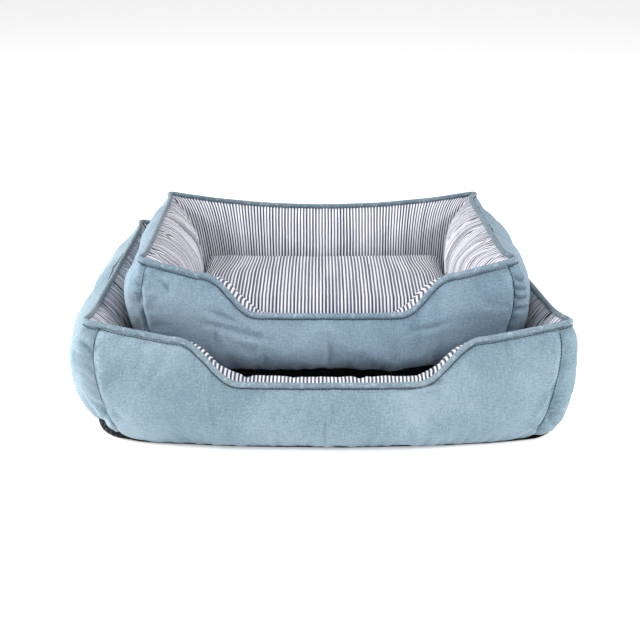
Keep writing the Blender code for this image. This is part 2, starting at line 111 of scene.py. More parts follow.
smallBed = {
    "name": "small",
    "frontHeight": 0.184,
    "backHeight": 0.166,
    "backSag": 0.024,
    "dipHeight": 0.104,
    "dipHalf": 0.100,
    "dipRun": 0.092,
    "shoulderDrop": 0.020,
    "frontBow": 0.020,
    "frontSwell": (0.018, 0.050, 0.086),
    "rightSwell": (0.054, 0.050, 0.080),
    "backSwell": (0.026, 0.040, 0.074),
    "leftSwell": (0.042, 0.048, 0.076),
    "swellPower": {},
    "belly": {"front": (1.5, 1.35, 0.70), "right": (0.5, 1.85, 0.91), "back": (1.5, 1.35, 0.70),
              "left": (0.5, 1.9, 0.90)},
    "drawnIn": {"left": 0.009, "right": 0.018},
    "liningRise": {"front": 0.004, "right": 0.004, "back": 0.002, "left": 0.004},
    "dipRise": 0.010,
    "dipPinches": (),
    "frontSeams": ((0.010, 0.010), (0.014, 0.014)),
    "baseOut": -0.014,
    "hemOut": {"front": -0.012, "right": -0.014, "back": -0.014, "left": -0.014},
    "hemRadius": 0.050,
    # turned up high, so that the black base shows as a dark band under the small bed's front; that band
    # also stands in for the shadow in the gap there, so it is partly painted shadow
    "baseRim": 0.018,
    "rimWave": 0.0030,
    "cornerTurn": 0.0,
    "backRightSlump": (-0.010, 0.0, 0.0),
    "backLeftSlump": (-0.005, 0.0, 0.0),
    "wrinkles": (
        ("front", -0.140, 0.088, 0.034, 0.0036, -0.28, 0.0020),
        ("front", -0.118, 0.078, 0.026, 0.0040, -0.20, 0.0014),
        ("front", -0.150, 0.104, 0.024, 0.0034, -0.50, 0.0016),
        ("front", -0.236, 0.150, 0.014, 0.0028, -0.9, 0.0016),
        ("front", 0.150, 0.092, 0.026, 0.0034, 0.30, 0.0012),
        ("right", 0.012, 0.158, 0.014, 0.0024, -0.35, 0.0024),
        ("right", 0.013, 0.145, 0.015, 0.0024, -0.25, 0.0026),
        ("right", 0.014, 0.131, 0.015, 0.0026, -0.10, 0.0024),
        ("right", 0.013, 0.114, 0.014, 0.0026, 0.0, 0.0020),
        ("left", 0.014, 0.150, 0.014, 0.0028, 0.2, 0.0022),
        ("left", 0.014, 0.060, 0.016, 0.0030, -0.3, 0.0020),
    ),
    "cushionFront": 0.064,
    "cushionBack": 0.086,
    "cushionSide": 0.082,
    "cushionCrown": 0.090,
    "cushionPuff": 0.004,
    # the small bed's denim is set darker than the large bed's: partly painted shade, for the small bed
    # standing inside the larger one
    "fade": (0.66, 0.69, 0.735),
    "seed": 29,
}

sewing = {
    "clothThick": 0.0013,
    "pitch": 0.005,                # spacing of the cloth's points
    "gap": 0.0004,                 # the frame's own gap between touching pieces
    "topRadius": 0.014,
    "innerRadius": 0.012,
    "cornerShare": 0.55,
    "sideSeam": 0.019,             # how far the side covers reach round the back corners
    "seamDepth": 0.0028,           # how far a side seam is drawn in
    "floorInset": 0.050,
    "floorHeight": 0.015,          # the well's floor over the bed's base
    "pipingRise": 0.003,
    "pipingRadius": 0.004,
    "cushionSeam": 0.040,
    "cushionCorner": 20.0,         # power of the seat's rounded outline
    "swellPower": 4,
    "drawPower": 12,               # how close to a corner a drawn-in rim comes back out
    "hemStand": 0.12,              # height share where a cover starts to bulge
    "liningFoot": (1.5, 0.30),     # how far in and how high a lining's lower curve pulls
    "dipEase": (0.01, 0.06),       # how the entrance's lining dies away past its flat part
    "pinchWidth": 0.006,
    "pinchDepth": 0.45,
    "rimTurns": 5.2,               # waves in the base seam round the bed
    "rimGain": 1.6,
    "turnWidth": 0.034,            # of the base's turned-up corner
}


# how a wall runs: s goes from -1 to 1 along it, t from hem to top seam or from top seam to floor

def mix(a, b, share):
    return a + (b - a) * share


def clamp(x, low=0.0, high=1.0):
    return min(high, max(low, x))


def smooth(x):
    x = clamp(x)
    return x ** 3 * (10 - 15 * x + 6 * x * x)


def bezier(p0, p1, p2, p3, t):
    w = ((1 - t) ** 3, 3 * t * (1 - t) ** 2, 3 * t * t * (1 - t), t ** 3)
    return tuple(sum(k * p[i] for k, p in zip(w, (p0, p1, p2, p3))) for i in (0, 1))


def noiseAt(x, y, z):
    return noise.noise(Vector((x, y, z)))


def measureBed(bed):
    low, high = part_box(bed["name"] + "_base_fabric")     # its edge gives the top seams' rectangle
    edge = bed["baseOut"] - sewing["gap"]
    bed["length"] = high.x - low.x - 2 * edge
    bed["depth"] = high.y - low.y - 2 * edge - bed["frontBow"]
    bed["middle"] = Vector(((low.x + high.x) / 2, high.y - edge - bed["depth"] / 2, low.z))


def halfSizes(bed, wall):
    halves = bed["length"] / 2, bed["depth"] / 2
    return halves if wall in ("front", "back") else halves[::-1]


def seamHeight(bed, wall, s):
    front, back, half = bed["frontHeight"], bed["backHeight"], halfSizes(bed, wall)[0]
    if wall == "front":
        x = abs(s) * half
        shoulder = front - bed["shoulderDrop"]
        slopeEnd = bed["dipHalf"] + bed["dipRun"]
        if x <= slopeEnd:
            return mix(bed["dipHeight"], shoulder, smooth((x - bed["dipHalf"]) / bed["dipRun"]))
        return mix(shoulder, front, (x - slopeEnd) / (half - slopeEnd))
    if wall == "back":
        return back - bed["backSag"] * (1 - s * s)
    return mix(front, back, (1 + s) / 2 if wall == "right" else (1 - s) / 2)


def rimHeight(bed, wall, s):
    place = wallOrder.index(wall) + s / 2                 # runs round the bed without a jump
    angle = place / 4 * 2 * math.pi
    spot = Vector((math.cos(angle), math.sin(angle), 0.0)) * sewing["rimTurns"]
    wave = noise.noise(spot + Vector((bed["seed"], 0, 0))) * bed["rimWave"] * sewing["rimGain"]
    near = {"front": (1 + s), "left": (1 - s)}.get(wall, 2.0) * halfSizes(bed, wall)[0]
    return bed["baseRim"] + wave + bed["cornerTurn"] * math.exp(-(near / sewing["turnWidth"]) ** 2)


def shared(table, wall, s):
    neighbour = wallOrder[(wallOrder.index(wall) + (1 if s > 0 else -1)) % 4]
    full, other = table[wall], table[neighbour]
    if isinstance(full, tuple):
        return tuple(mix(a, (a + b) / 2, s ** 4) for a, b in zip(full, other))
    return mix(full, (full + other) / 2, s ** 4)


def swell(bed, wall, s, which):
    neighbour = wallOrder[(wallOrder.index(wall) + (1 if s > 0 else -1)) % 4]
    full = bed[wall + "Swell"][which]
    corner = sewing["cornerShare"] * (full + bed[neighbour + "Swell"][which]) / 2
    usual = sewing["swellPower"]
    power = bed["swellPower"].get(wall, usual) if which == 0 else usual
    return mix(corner, full, 1 - abs(s) ** power)


def outerCurve(bed, wall, s, t):
    height = seamHeight(bed, wall, s)
    bulge = swell(bed, wall, s, 0)
    low, rim = shared(bed["hemOut"], wall, s), rimHeight(bed, wall, s)
    under, over, high = shared(bed["belly"], wall, s)
    return bezier((low, rim), (low + under * bulge, mix(rim, height, sewing["hemStand"])),
                  (over * bulge, mix(rim, height, high)), (0, height), t)


def innerCurve(bed, wall, s, t):
    height = seamHeight(bed, wall, s)
    floor = sewing["floorHeight"]
    inset = sewing["floorInset"]
    high, low = (swell(bed, wall, s, which) for which in (1, 2))
    rise = shared(bed["liningRise"], wall, s)
    if wall == "front":
        x = s * halfSizes(bed, wall)[0]
        pinch = sum(math.exp(-((x - place) / sewing["pinchWidth"]) ** 2) for place in bed["dipPinches"])
        flat, fade = sewing["dipEase"]
        inDip = 1 - smooth((abs(x) - bed["dipHalf"] - flat) / fade)
        rise += bed["dipRise"] * inDip * (1 - sewing["pinchDepth"] * pinch)
    pull, lift = sewing["liningFoot"]
    return bezier((0, height), (-high, height + rise),
                  (-mix(inset, low, pull), mix(floor, height, lift)), (-inset, floor), t)


def slump(bed, point):
    share = smooth(point.z / bed["frontHeight"])
    right = clamp(0.5 + point.x / bed["length"])
    back = clamp(0.5 + point.y / bed["depth"])
    shift = Vector(bed["backRightSlump"]) * right + Vector(bed["backLeftSlump"]) * (1 - right)
    return point + shift * (back * share)


def placeAt(bed, wall, s, offset, height, radius):
    along, out = (Vector(v) for v in wallRuns[wall])
    half, distance = halfSizes(bed, wall)
    endDrop = radius * (1 - math.sqrt(0.5))
    into = min(radius, max(0.0, abs(s) * (half - endDrop) - (half - radius)))
    drop = radius - math.sqrt(radius * radius - into * into)
    bow = bed["frontBow"] * (1 - s * s) if wall == "front" else 0.0
    drawn = 1 - s ** sewing["drawPower"]
    bow -= bed["drawnIn"].get(wall, 0.0) * drawn * smooth(height / bed["frontHeight"])
    spot = along * (s * (half - endDrop + offset)) + out * (distance - drop + offset + bow)
    return slump(bed, Vector((spot.x, spot.y, height))) + bed["middle"]


def outerPoint(bed, wall, s, t):
    offset, height = outerCurve(bed, wall, s, t)
    return placeAt(bed, wall, s, offset, height, mix(bed["hemRadius"], sewing["topRadius"], t))


def innerPoint(bed, wall, s, t):
    offset, height = innerCurve(bed, wall, s, t)
    return placeAt(bed, wall, s, offset, height, mix(sewing["topRadius"], sewing["innerRadius"], t))


def run(bed, wall, first, last, pitch=None, count=None):
    pitch = pitch or sewing["pitch"]
    count = count or max(2, round(abs(last - first) * halfSizes(bed, wall)[0] / pitch))
    return [(wall, mix(first, last, i / count)) for i in range(count + 1)]


def sideSeam(bed, wall, end, t):
    usual = sewing["sideSeam"]
    top, hem = bed["frontSeams"][end] if wall == "front" else (usual, usual)
    return 1 - mix(hem, top, t) / halfSizes(bed, wall)[0]


# node-made finishes; the cloth ones lie on a layer of cloth coordinates in metres

def tone(red, green, blue):
    return tuple((c / 255) ** 2.2 for c in (red, green, blue)) + (1,)


class Finish:
    def __init__(self, name, colour, roughness, **sockets):
        self.made = bpy.data.materials.new(name)
        self.made.use_nodes = True
        self.tree = self.made.node_tree
        self.shader = self.tree.nodes["Principled BSDF"]
        self.set(self.shader, {"Base Color": colour, "Roughness": roughness})
        self.set(self.shader, {key.replace("_", " "): value for key, value in sockets.items()})

    def set(self, node, values):
        for key, value in values.items():
            if isinstance(value, bpy.types.NodeSocket):
                self.tree.links.new(value, node.inputs[key])
            else:
                node.inputs[key].default_value = value

    def add(self, kind, values=None, **settings):
        node = self.tree.nodes.new("ShaderNode" + kind)
        for key, value in settings.items():
            setattr(node, key, value)
        self.set(node, values or {})
        return node

    def sum(self, operation, *values):
        node = self.add("Math", operation=operation)
        self.set(node, dict(enumerate(values)))
        return node.outputs[0]

    def off(self, value, amount):      # a grain's swing either side of nothing
        return self.sum("MULTIPLY", self.sum("SUBTRACT", value, 0.5), amount)

    def added(self, *pairs):           # each value times its share, one after the other
        total = self.sum("MULTIPLY", *pairs[0])
        for value, share in pairs[1:]:
            total = self.sum("ADD", total, self.sum("MULTIPLY", value, share))
        return total

    def cloth(self):
        uv = self.add("UVMap", uv_map="cloth").outputs[0]
        parts = self.add("SeparateXYZ", {0: uv})
        return uv, parts.outputs[0], parts.outputs[1]

    def stretched(self, vector, across, up):
        return self.add("Mapping", {"Vector": vector, "Scale": (across, up, 1)}).outputs[0]

    def grain(self, vector, scale, detail=2.0, roughness=0.5):
        values = {"Vector": vector, "Scale": scale, "Detail": detail, "Roughness": roughness}
        return self.add("TexNoise", values).outputs[0]

    def span(self, value, low, high, to0=0.0, to1=1.0):
        values = {0: value, 1: low, 2: high, 3: to0, 4: to1}
        return self.add("MapRange", values, interpolation_type="SMOOTHSTEP").outputs[0]

    def blendOf(self, share, first, second):
        node = self.add("Mix", data_type="RGBA")
        self.set(node, {0: share, 6: first, 7: second})
        return node.outputs[2]

    def ripple(self, value, period):
        return self.sum("SINE", self.sum("MULTIPLY", value, 2 * math.pi / period))

    def bump(self, height, distance, strength=1.0):
        node = self.add("Bump", {"Height": height, "Distance": distance, "Strength": strength})
        self.set(self.shader, {"Normal": node.outputs[0]})

    def finish(self, colour=None, roughness=None):
        if colour is not None:
            self.set(self.shader, {"Base Color": colour})
        if roughness is not None:
            self.set(self.shader, {"Roughness": roughness})
        return self.made


denimLook = {
    "pale": tone(168, 189, 201),
    "deep": tone(116, 144, 160),
    "nep": tone(60, 84, 106),
    "twill": 0.0013,               # from one diagonal rib to the next
    "slubLength": 80,              # lower is longer
    "slubFine": 560,
    "patches": 7,
    "slubShare": 0.32,             # what each grain adds to the shade
    "heatherShare": 0.68,
    "pickShare": 0.30,
    "patchShare": 0.60,
    "ribShare": 0.05,
    "shadeRange": (0.28, 0.74),
    "nepSpread": 30.0,             # cells to the metre that may hold a dark fleck
    "nepSize": (0.030, 0.018),
    "nepRare": (0.72, 0.78),
    "nepStrength": 0.75,
    "rubbed": tone(196, 206, 212),     # worn spots on the piping
    "rubStrength": 0.45,
    "lift": 0.00035,               # height of the weave
}


def denimCloth(name, bed, share=1.0, edging=False):
    look = denimLook
    fade = [part * share for part in bed["fade"]]
    f = Finish(name, look["pale"], 0.86, Sheen_Weight=0.22, Sheen_Roughness=0.45)
    uv, u, v = f.cloth()
    slub = f.grain(f.stretched(uv, look["slubLength"], look["slubFine"]), 1.0, 3.0, 0.6)
    pick = f.grain(f.stretched(uv, 900, 60), 1.0, 2.0, 0.5)
    heather = f.grain(uv, 340, 3.0, 0.7)
    patch = f.grain(uv, look["patches"], 3.0, 0.55)
    rib = f.ripple(f.sum("ADD", u, f.sum("MULTIPLY", v, 0.6)), look["twill"])
    shade = f.added((slub, look["slubShare"]), (heather, look["heatherShare"]))
    shade = f.sum("ADD", shade, f.off(pick, look["pickShare"]))
    shade = f.sum("ADD", shade, f.off(patch, look["patchShare"]))
    shade = f.sum("ADD", shade, f.sum("MULTIPLY", rib, look["ribShare"]))
    deep, pale = (tuple(c * part for c, part in zip(look[end], fade)) + (1,)
                  for end in ("deep", "pale"))
    colour = f.blendOf(f.span(shade, *look["shadeRange"]), deep, pale)
    cells = f.add("TexVoronoi", {"Vector": uv, "Scale": look["nepSpread"]}, feature="F1")
    lone = f.add("SeparateXYZ", {0: cells.outputs["Color"]}).outputs[0]
    spot = f.sum("MULTIPLY", f.span(cells.outputs["Distance"], *look["nepSize"]),
                 f.span(lone, *look["nepRare"]))
    colour = f.blendOf(f.sum("MULTIPLY", spot, look["nepStrength"]), colour, look["nep"])
    if edging:
        rub = f.grain(uv, 140, 3.0, 0.6)
        colour = f.blendOf(f.span(rub, 0.50, 0.72, 0.0, look["rubStrength"]), colour, look["rubbed"])
    height = f.added((rib, 0.35), (slub, 1.1), (heather, 0.8))
    f.bump(height, look["lift"], 0.8)
    return f.finish(colour, f.span(slub, 0.2, 0.8, 0.95, 0.78))


tickingLook = {
    "period": 0.0055,
    "lineShare": 0.52,
    "ground": tone(231, 231, 238),
    "line": tone(38, 42, 64),
    "lineFaded": tone(104, 108, 128),
    "shade": tone(221, 222, 230),  # duller patches of the ground
    "wander": 0.0009,              # how far a line strays
    "soft": 0.10,                  # how blurred a line's edge is
    "thread": 0.0007,
    "lift": 0.00022,
}


def tickingCloth(name, faded=0.0, share=tickingLook["lineShare"], uneven=0.15):
    look = tickingLook
    f = Finish(name, look["ground"], 0.88, Sheen_Weight=0.15, Sheen_Roughness=0.5)
    uv, u, v = f.cloth()
    stray = f.grain(f.stretched(uv, 60, 22), 1.0, 2.0)
    turns = f.sum("DIVIDE", f.sum("ADD", u, f.off(stray, look["wander"])), look["period"])
    phase = f.sum("ABSOLUTE", f.sum("SUBTRACT", f.sum("FRACT", turns), 0.5))
    bunch = f.grain(f.stretched(uv, 0.45 / look["period"], 4), 1.0, 1.0)
    half = f.span(bunch, 0.35, 0.65, share / 2 * (1 - uneven), share / 2 * (1 + uneven))
    soft = look["soft"] / 2
    line = f.span(phase, f.sum("ADD", half, soft), f.sum("SUBTRACT", half, soft))
    number = f.sum("FLOOR", turns)
    each = f.add("TexWhiteNoise", {"W": number}, noise_dimensions="1D").outputs[0]
    yarn = f.grain(f.stretched(uv, 1400, 90), 1.0, 2.0)
    worn = f.sum("ADD", f.added((each, 0.35), (yarn, 0.5)), faded)
    ink = f.blendOf(f.span(worn, 0.1, 1.0), look["line"], look["lineFaded"])
    patch = f.grain(uv, 14, 2.0)
    ground = f.blendOf(f.span(patch, 0.35, 0.7), look["ground"], look["shade"])
    weave = f.sum("MULTIPLY", f.ripple(u, look["thread"]), f.ripple(v, look["thread"]))
    f.bump(f.added((weave, 0.5), (yarn, 0.9)), look["lift"], 0.7)
    return f.finish(f.blendOf(line, ground, ink), f.span(yarn, 0.2, 0.8, 0.94, 0.8))


baseLook = {
    # near-black, kept this dark so that where the small bed's base shows under its front it also passes
    # for the shadow in that gap: partly painted shadow
    "cloth": tone(9, 9, 10),
    "dot": tone(17, 17, 19),
    "dotPitch": 0.008,
    "dotRadius": 0.26,             # of the pitch
}


def gripCloth():
    f = Finish("blackGripCloth", baseLook["cloth"], 0.85, Specular_IOR_Level=0.2)
    uv, u, v = f.cloth()
    values = {"Vector": uv, "Scale": 1 / baseLook["dotPitch"], "Randomness": 0.0}
    cells = f.add("TexVoronoi", values)
    dot = f.span(cells.outputs["Distance"], baseLook["dotRadius"] + 0.05, baseLook["dotRadius"])
    fuzz = f.grain(uv, 700, 3.0, 0.7)
    ribs = f.sum("MULTIPLY", f.ripple(u, 0.0012), f.ripple(v, 0.0012))
    colour = f.blendOf(dot, f.blendOf(fuzz, baseLook["cloth"], tone(16, 16, 18)), baseLook["dot"])
    f.bump(f.added((dot, 1.4), (fuzz, 0.6), (ribs, 0.2)), 0.0005, 0.8)
    return f.finish(colour, f.span(dot, 0.0, 1.0, 0.86, 0.45))


# navy thread, kept dark: the stitch row under the piping also stands in for the shadow in the groove
# there, so it is partly painted shade
def threadFinish():
    f = Finish("navyThreadAndGrooveShade", tone(40, 58, 76), 0.8)
    spot = f.add("TexCoord").outputs["Object"]
    values = {"Vector": spot, "Scale": 420.0, "Distortion": 3.0}
    twist = f.add("TexWave", values, bands_direction="DIAGONAL")
    colour = f.blendOf(twist.outputs["Fac"], tone(24, 38, 54), tone(54, 74, 92))
    f.bump(twist.outputs["Fac"], 0.0002)
    return f.finish(colour)


def fibreFinish():
    f = Finish("whiteFibre", tone(240, 240, 236), 1.0, Sheen_Weight=0.5, Sheen_Roughness=0.6)
    spot = f.add("TexCoord").outputs["Object"]
    strands = f.grain(f.stretched(spot, 130, 420), 1.0, 5.0, 0.7)
    tufts = f.grain(spot, 38, 4.0, 0.6)
    colour = f.blendOf(tufts, tone(218, 218, 213), tone(246, 246, 243))
    height = f.sum("ADD", f.sum("MULTIPLY", strands, 0.5), tufts)
    f.bump(height, 0.003)
    return f.finish(colour, f.span(strands, 0.2, 0.8, 1.0, 0.9))


def foamFinish():
    f = Finish("paleFoam", tone(226, 222, 206), 0.95)
    spot = f.add("TexCoord").outputs["Object"]
    cells = f.add("TexVoronoi", {"Vector": spot, "Scale": 620.0})
    patch = f.grain(spot, 30, 2.0)
    colour = f.blendOf(patch, tone(214, 209, 190), tone(236, 233, 220))
    f.bump(cells.outputs["Distance"], 0.0006)
    return f.finish(colour, f.span(cells.outputs["Distance"], 0.0, 0.6, 1.0, 0.88))


def zincFinish():
    f = Finish("brushedZinc", tone(168, 170, 174), 0.34, Metallic=1.0)
    spot = f.add("TexCoord").outputs["Object"]
    brush = f.grain(f.stretched(spot, 60, 2600), 1.0, 3.0, 0.6)
    wear = f.grain(spot, 320, 3.0, 0.6)
    colour = f.blendOf(wear, tone(140, 142, 147), tone(196, 197, 200))
    f.bump(brush, 0.00005, 0.6)
    return f.finish(colour, f.span(brush, 0.3, 0.7, 0.26, 0.46))


def zipClothFinish():
    f = Finish("zipTapeCloth", tone(120, 142, 158), 0.8, Sheen_Weight=0.2)
    spot = f.add("TexCoord").outputs["Object"]
    parts = f.add("SeparateXYZ", {0: spot})
    x, z = parts.outputs[0], parts.outputs[2]
    rows = f.ripple(z, 0.0016)
    weave = f.ripple(f.sum("ADD", x, f.sum("MULTIPLY", f.sum("ABSOLUTE", rows), 0.0008)), 0.0012)
    fleck = f.grain(spot, 900, 2.0)
    share = f.sum("ADD", f.sum("MULTIPLY", weave, 0.25), fleck)
    colour = f.blendOf(f.span(share, 0.1, 0.9), tone(100, 122, 140), tone(140, 160, 174))
    f.bump(f.sum("ADD", weave, rows), 0.0002)
    return f.finish(colour, f.span(fleck, 0.2, 0.8, 0.9, 0.72))


def coilFinish():
    f = Finish("nylonCoil", tone(112, 132, 148), 0.42)
    spot = f.add("TexCoord").outputs["Object"]
    haze = f.grain(spot, 500, 3.0)
    colour = f.blendOf(haze, tone(94, 114, 132), tone(132, 150, 164))
    f.bump(haze, 0.0001)
    return f.finish(colour, f.span(haze, 0.2, 0.8, 0.36, 0.52))


finishes = {
    "largeDenim": denimCloth("largeDenim", largeBed),
    "smallDenim": denimCloth("smallDenim", smallBed),
    "largeFrontPiping": denimCloth("largeFrontPipingDenim", largeBed, 0.86, edging=True),
    "smallFrontPiping": denimCloth("smallFrontPipingDenim", smallBed, 0.90, edging=True),
    "largeRimPiping": denimCloth("largeRimPipingDenim", largeBed, 0.64, edging=True),
    "smallRimPiping": denimCloth("smallRimPipingDenim", smallBed, 0.62, edging=True),
    "ticking": tickingCloth("wallTicking"),
    "sideTicking": tickingCloth("sideTicking", share=0.48, uneven=0.50),
    "seatTicking": tickingCloth("seatTicking", faded=0.04, share=0.56),
    "base": gripCloth(),
    "thread": threadFinish(),
    "fibre": fibreFinish(),
    "foam": foamFinish(),
    "zinc": zincFinish(),
    "zipCloth": zipClothFinish(),
    "coil": coilFinish(),
}
print("finishes made:", len(finishes))


sewn = []                          # cloth panels that are puffed together further down


def meshPiece(name, points, faces, finish, uvs=None):
    mesh = bpy.data.meshes.new(name)
    mesh.from_pydata(points, [], faces)
    if uvs:
        layer = mesh.uv_layers.new(name="cloth")
        for loop in mesh.loops:
            layer.data[loop.index].uv = uvs[loop.vertex_index]
    mesh.shade_smooth()
    mesh.materials.append(finishes[finish])
    obj = bpy.data.objects.new(name, mesh)
    bpy.context.scene.collection.objects.link(obj)
    return obj


def gridFaces(rows, columns, closed=False):
    faces = []
    for i in range(rows - 1):
        for j in range(columns if closed else columns - 1):
            a, b = i * columns + j, i * columns + (j + 1) % columns
            faces.append((a, b, b + columns, a + columns))
    return faces


def pieceName(bed, words):
    return bed["name"] + words


def fasten(obj, body, slot, *nodes):
    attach(obj, body)
    if nodes:
        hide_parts(*nodes)
    return obj


def distances(points):
    total = [0.0]
    for a, b in zip(points, points[1:]):
        total.append(total[-1] + (b - a).length)
    return total


def hold(obj, indices):
    group = obj.vertex_groups.new(name="held")
    group.add(indices, 1.0, "REPLACE")


def thicken(obj, thickness, offset):
    solid = obj.modifiers.new("Thickness", "SOLIDIFY")
    solid.thickness = thickness
    solid.offset = offset


def cleanUp(obj, weldWithin=None):
    shape = bmesh.new()
    shape.from_mesh(obj.data)
    if weldWithin:
        bmesh.ops.remove_doubles(shape, verts=shape.verts, dist=weldWithin)
    bmesh.ops.recalc_face_normals(shape, faces=shape.faces)
    shape.to_mesh(obj.data)
    shape.free()


def softNoise(a, b, seed):
    return noiseAt(a, b, seed * 1.37)


def seedOf(bed, wall):
    return bed["seed"] + 7 * wallOrder.index(wall)


def outwards(columns, i, j):
    column = columns[j]
    side = columns[min(j + 1, len(columns) - 1)][i] - columns[max(j - 1, 0)][i]
    rise = column[min(i + 1, len(column) - 1)] - column[max(i - 1, 0)]
    return side.cross(rise).normalized()


def makePanel(bed, words, node, slot, finish, look, columns, spotAt):
    rows, wide = look["rows"], len(columns)
    lengths = [distances(column) for column in columns]
    points, uvs = [], []
    for i in range(rows):
        for j in range(wide):
            depth, uv = spotAt(i, j, lengths[j][i], lengths[j][-1])
            points.append(columns[j][i] + outwards(columns, i, j) * depth)
            uvs.append(uv)
    obj = meshPiece(pieceName(bed, words), points, gridFaces(rows, wide), finish, uvs)
    hold(obj, [i * wide + j for i in range(rows) for j in range(wide)
               if i in (0, rows - 1) or j in (0, wide - 1)])
    fasten(obj, bed["name"] + "_shell", slot, node)
    sewn.append((obj, look))
    return obj


coverLook = {
    "rows": 38,
    "pucker": 0.0052,              # depth of the gathers beside the side seams
    "puckerReach": 0.018,
    "puckerEvery": 0.010,
    "puckerRun": 0.05,
    "lowGather": 1.6,              # how much deeper the gathers are at the foot
    "lowReach": 0.05,
    "seamWidth": 0.0065,           # of the groove along a side seam
    "closed": 0.005,               # stays flat this near to a seam, so that it shuts
    "hemPucker": 0.0026,
    "hemEvery": 0.015,
    "hemReach": 0.028,
    "topPucker": 0.0014,
    "topEvery": 0.017 / 1.4,
    "topReach": 0.020,
    "slack": 0.0030,               # soft broad hollows
    "slackSize": (0.13, 0.075),
    "growth": 0.040,
    "pressure": 3.0,
    "cap": 0.0055,
}


def coverPath(bed, wall, t=0.5):
    count = round(2 * halfSizes(bed, wall)[0] / sewing["pitch"])
    if wall in ("front", "back"):
        return run(bed, wall, -sideSeam(bed, wall, 0, t), sideSeam(bed, wall, 1, t), count=count)
    before = wallOrder[wallOrder.index(wall) - 1]
    after = wallOrder[(wallOrder.index(wall) + 1) % 4]
    path = run(bed, before, sideSeam(bed, before, 1, t), 1, count=7)[:-1]
    path += run(bed, wall, -1, 1, count=count)
    return path + run(bed, after, -1, -sideSeam(bed, after, 0, t), count=7)[1:]


def coverDepth(bed, wall, along, length, up, tall):
    look = coverLook
    fromEnd, below = min(along, length - along), tall - up
    end = seedOf(bed, wall) + (0 if along < length / 2 else 5)
    depth = -sewing["seamDepth"] * math.exp(-(fromEnd / look["seamWidth"]) ** 2)
    gather = softNoise(up / look["puckerEvery"], fromEnd / look["puckerRun"], end)
    gather *= 1 + look["lowGather"] * math.exp(-up / look["lowReach"])
    fades = math.exp(-fromEnd / look["puckerReach"]) * clamp(fromEnd / look["closed"])
    depth += look["pucker"] * gather * fades
    hem = softNoise(along / look["hemEvery"], up / 0.09, end + 2)
    depth += look["hemPucker"] * hem * math.exp(-up / look["hemReach"]) * clamp(up / 0.006)
    top = softNoise(along / look["topEvery"], up / 0.09, end + 3)
    fades = math.exp(-below / look["topReach"]) * clamp(below / look["closed"])
    depth += look["topPucker"] * top * fades
    broad = softNoise(along / look["slackSize"][0], up / look["slackSize"][1], end + 4)
    return depth + look["slack"] * broad * clamp(up / 0.03) * clamp(below / 0.03)


def makeCover(bed, wall):
    rows = coverLook["rows"]
    paths = [coverPath(bed, wall, i / (rows - 1)) for i in range(rows)]
    columns = [[outerPoint(bed, *paths[i][j], i / (rows - 1)) for i in range(rows)]
               for j in range(len(paths[0]))]
    middle = distances([column[rows // 2] for column in columns])

    def spotAt(i, j, up, tall):
        depth = coverDepth(bed, wall, middle[j], middle[-1], up, tall)
        return depth, (middle[j] + seedOf(bed, wall) * 0.37, up)

    return makePanel(bed, wall.capitalize() + "Cover", f"{bed['name']}_outer_{wall}", "denim",
                     bed["name"] + "Denim", coverLook, columns, spotAt)


liningLook = {
    "rows": 40,
    "gap": 0.0006,                 # between two linings in a corner
    "pucker": 0.0014,
    "puckerReach": 0.012,
    "puckerEvery": 0.013,
    "topPucker": 0.0011,
    "topEvery": 0.015,
    "topReach": 0.022,
    "slack": 0.0016,
    "slackSize": (0.10, 0.07),
    "stagger": 0.0055,             # shifts the stripes from wall to wall
    "growth": 0.020,
    "pressure": 2.4,
    "cap": 0.0035,
}


def makeLining(bed, wall):
    look = liningLook
    rows, half = look["rows"], halfSizes(bed, wall)[0]
    end = 1 - look["gap"] / half
    path = run(bed, wall, -end, end)
    columns = [[innerPoint(bed, w, s, i / (rows - 1)) for i in range(rows)] for w, s in path]
    along = Vector(wallRuns[wall][0]).to_3d()
    seed = seedOf(bed, wall) + 3

    def spotAt(i, j, down, deep):
        s = path[j][1]
        fromEnd = (1 - abs(s)) * half
        gather = softNoise(down / look["puckerEvery"], fromEnd / 0.05, seed + (s > 0))
        depth = look["pucker"] * gather * math.exp(-fromEnd / look["puckerReach"])
        depth *= clamp(fromEnd / 0.004)
        top = softNoise(s * half / look["topEvery"], down / 0.10, seed + 2)
        depth += look["topPucker"] * top * math.exp(-down / look["topReach"]) * clamp(down / 0.005)
        broad = softNoise(s * half / look["slackSize"][0], down / look["slackSize"][1], seed + 4)
        depth += look["slack"] * broad * clamp(down / 0.03) * clamp((deep - down) / 0.03)
        straight = along.dot(columns[j][i] - bed["middle"])
        return depth, (mix(straight, s * half, abs(s) ** 3) + seed * look["stagger"], down)

    finish = "sideTicking" if wall in ("left", "right") else "ticking"
    return makePanel(bed, wall.capitalize() + "Lining", f"{bed['name']}_lining_{wall}", "ticking",
                     finish, look, columns, spotAt)


fillingLook = {
    "rows": 12,
    "pitch": 0.016,
    "inset": 0.013,                # from the cloth, so that its folds have room
    "ends": 0.010,                 # short of the corners
    "outer": (0.10, 0.93),         # which part of the cover and of the lining it follows
    "inner": (0.07, 0.97),
    "lumps": 0.0035,
    "lumpSize": 0.030,
}


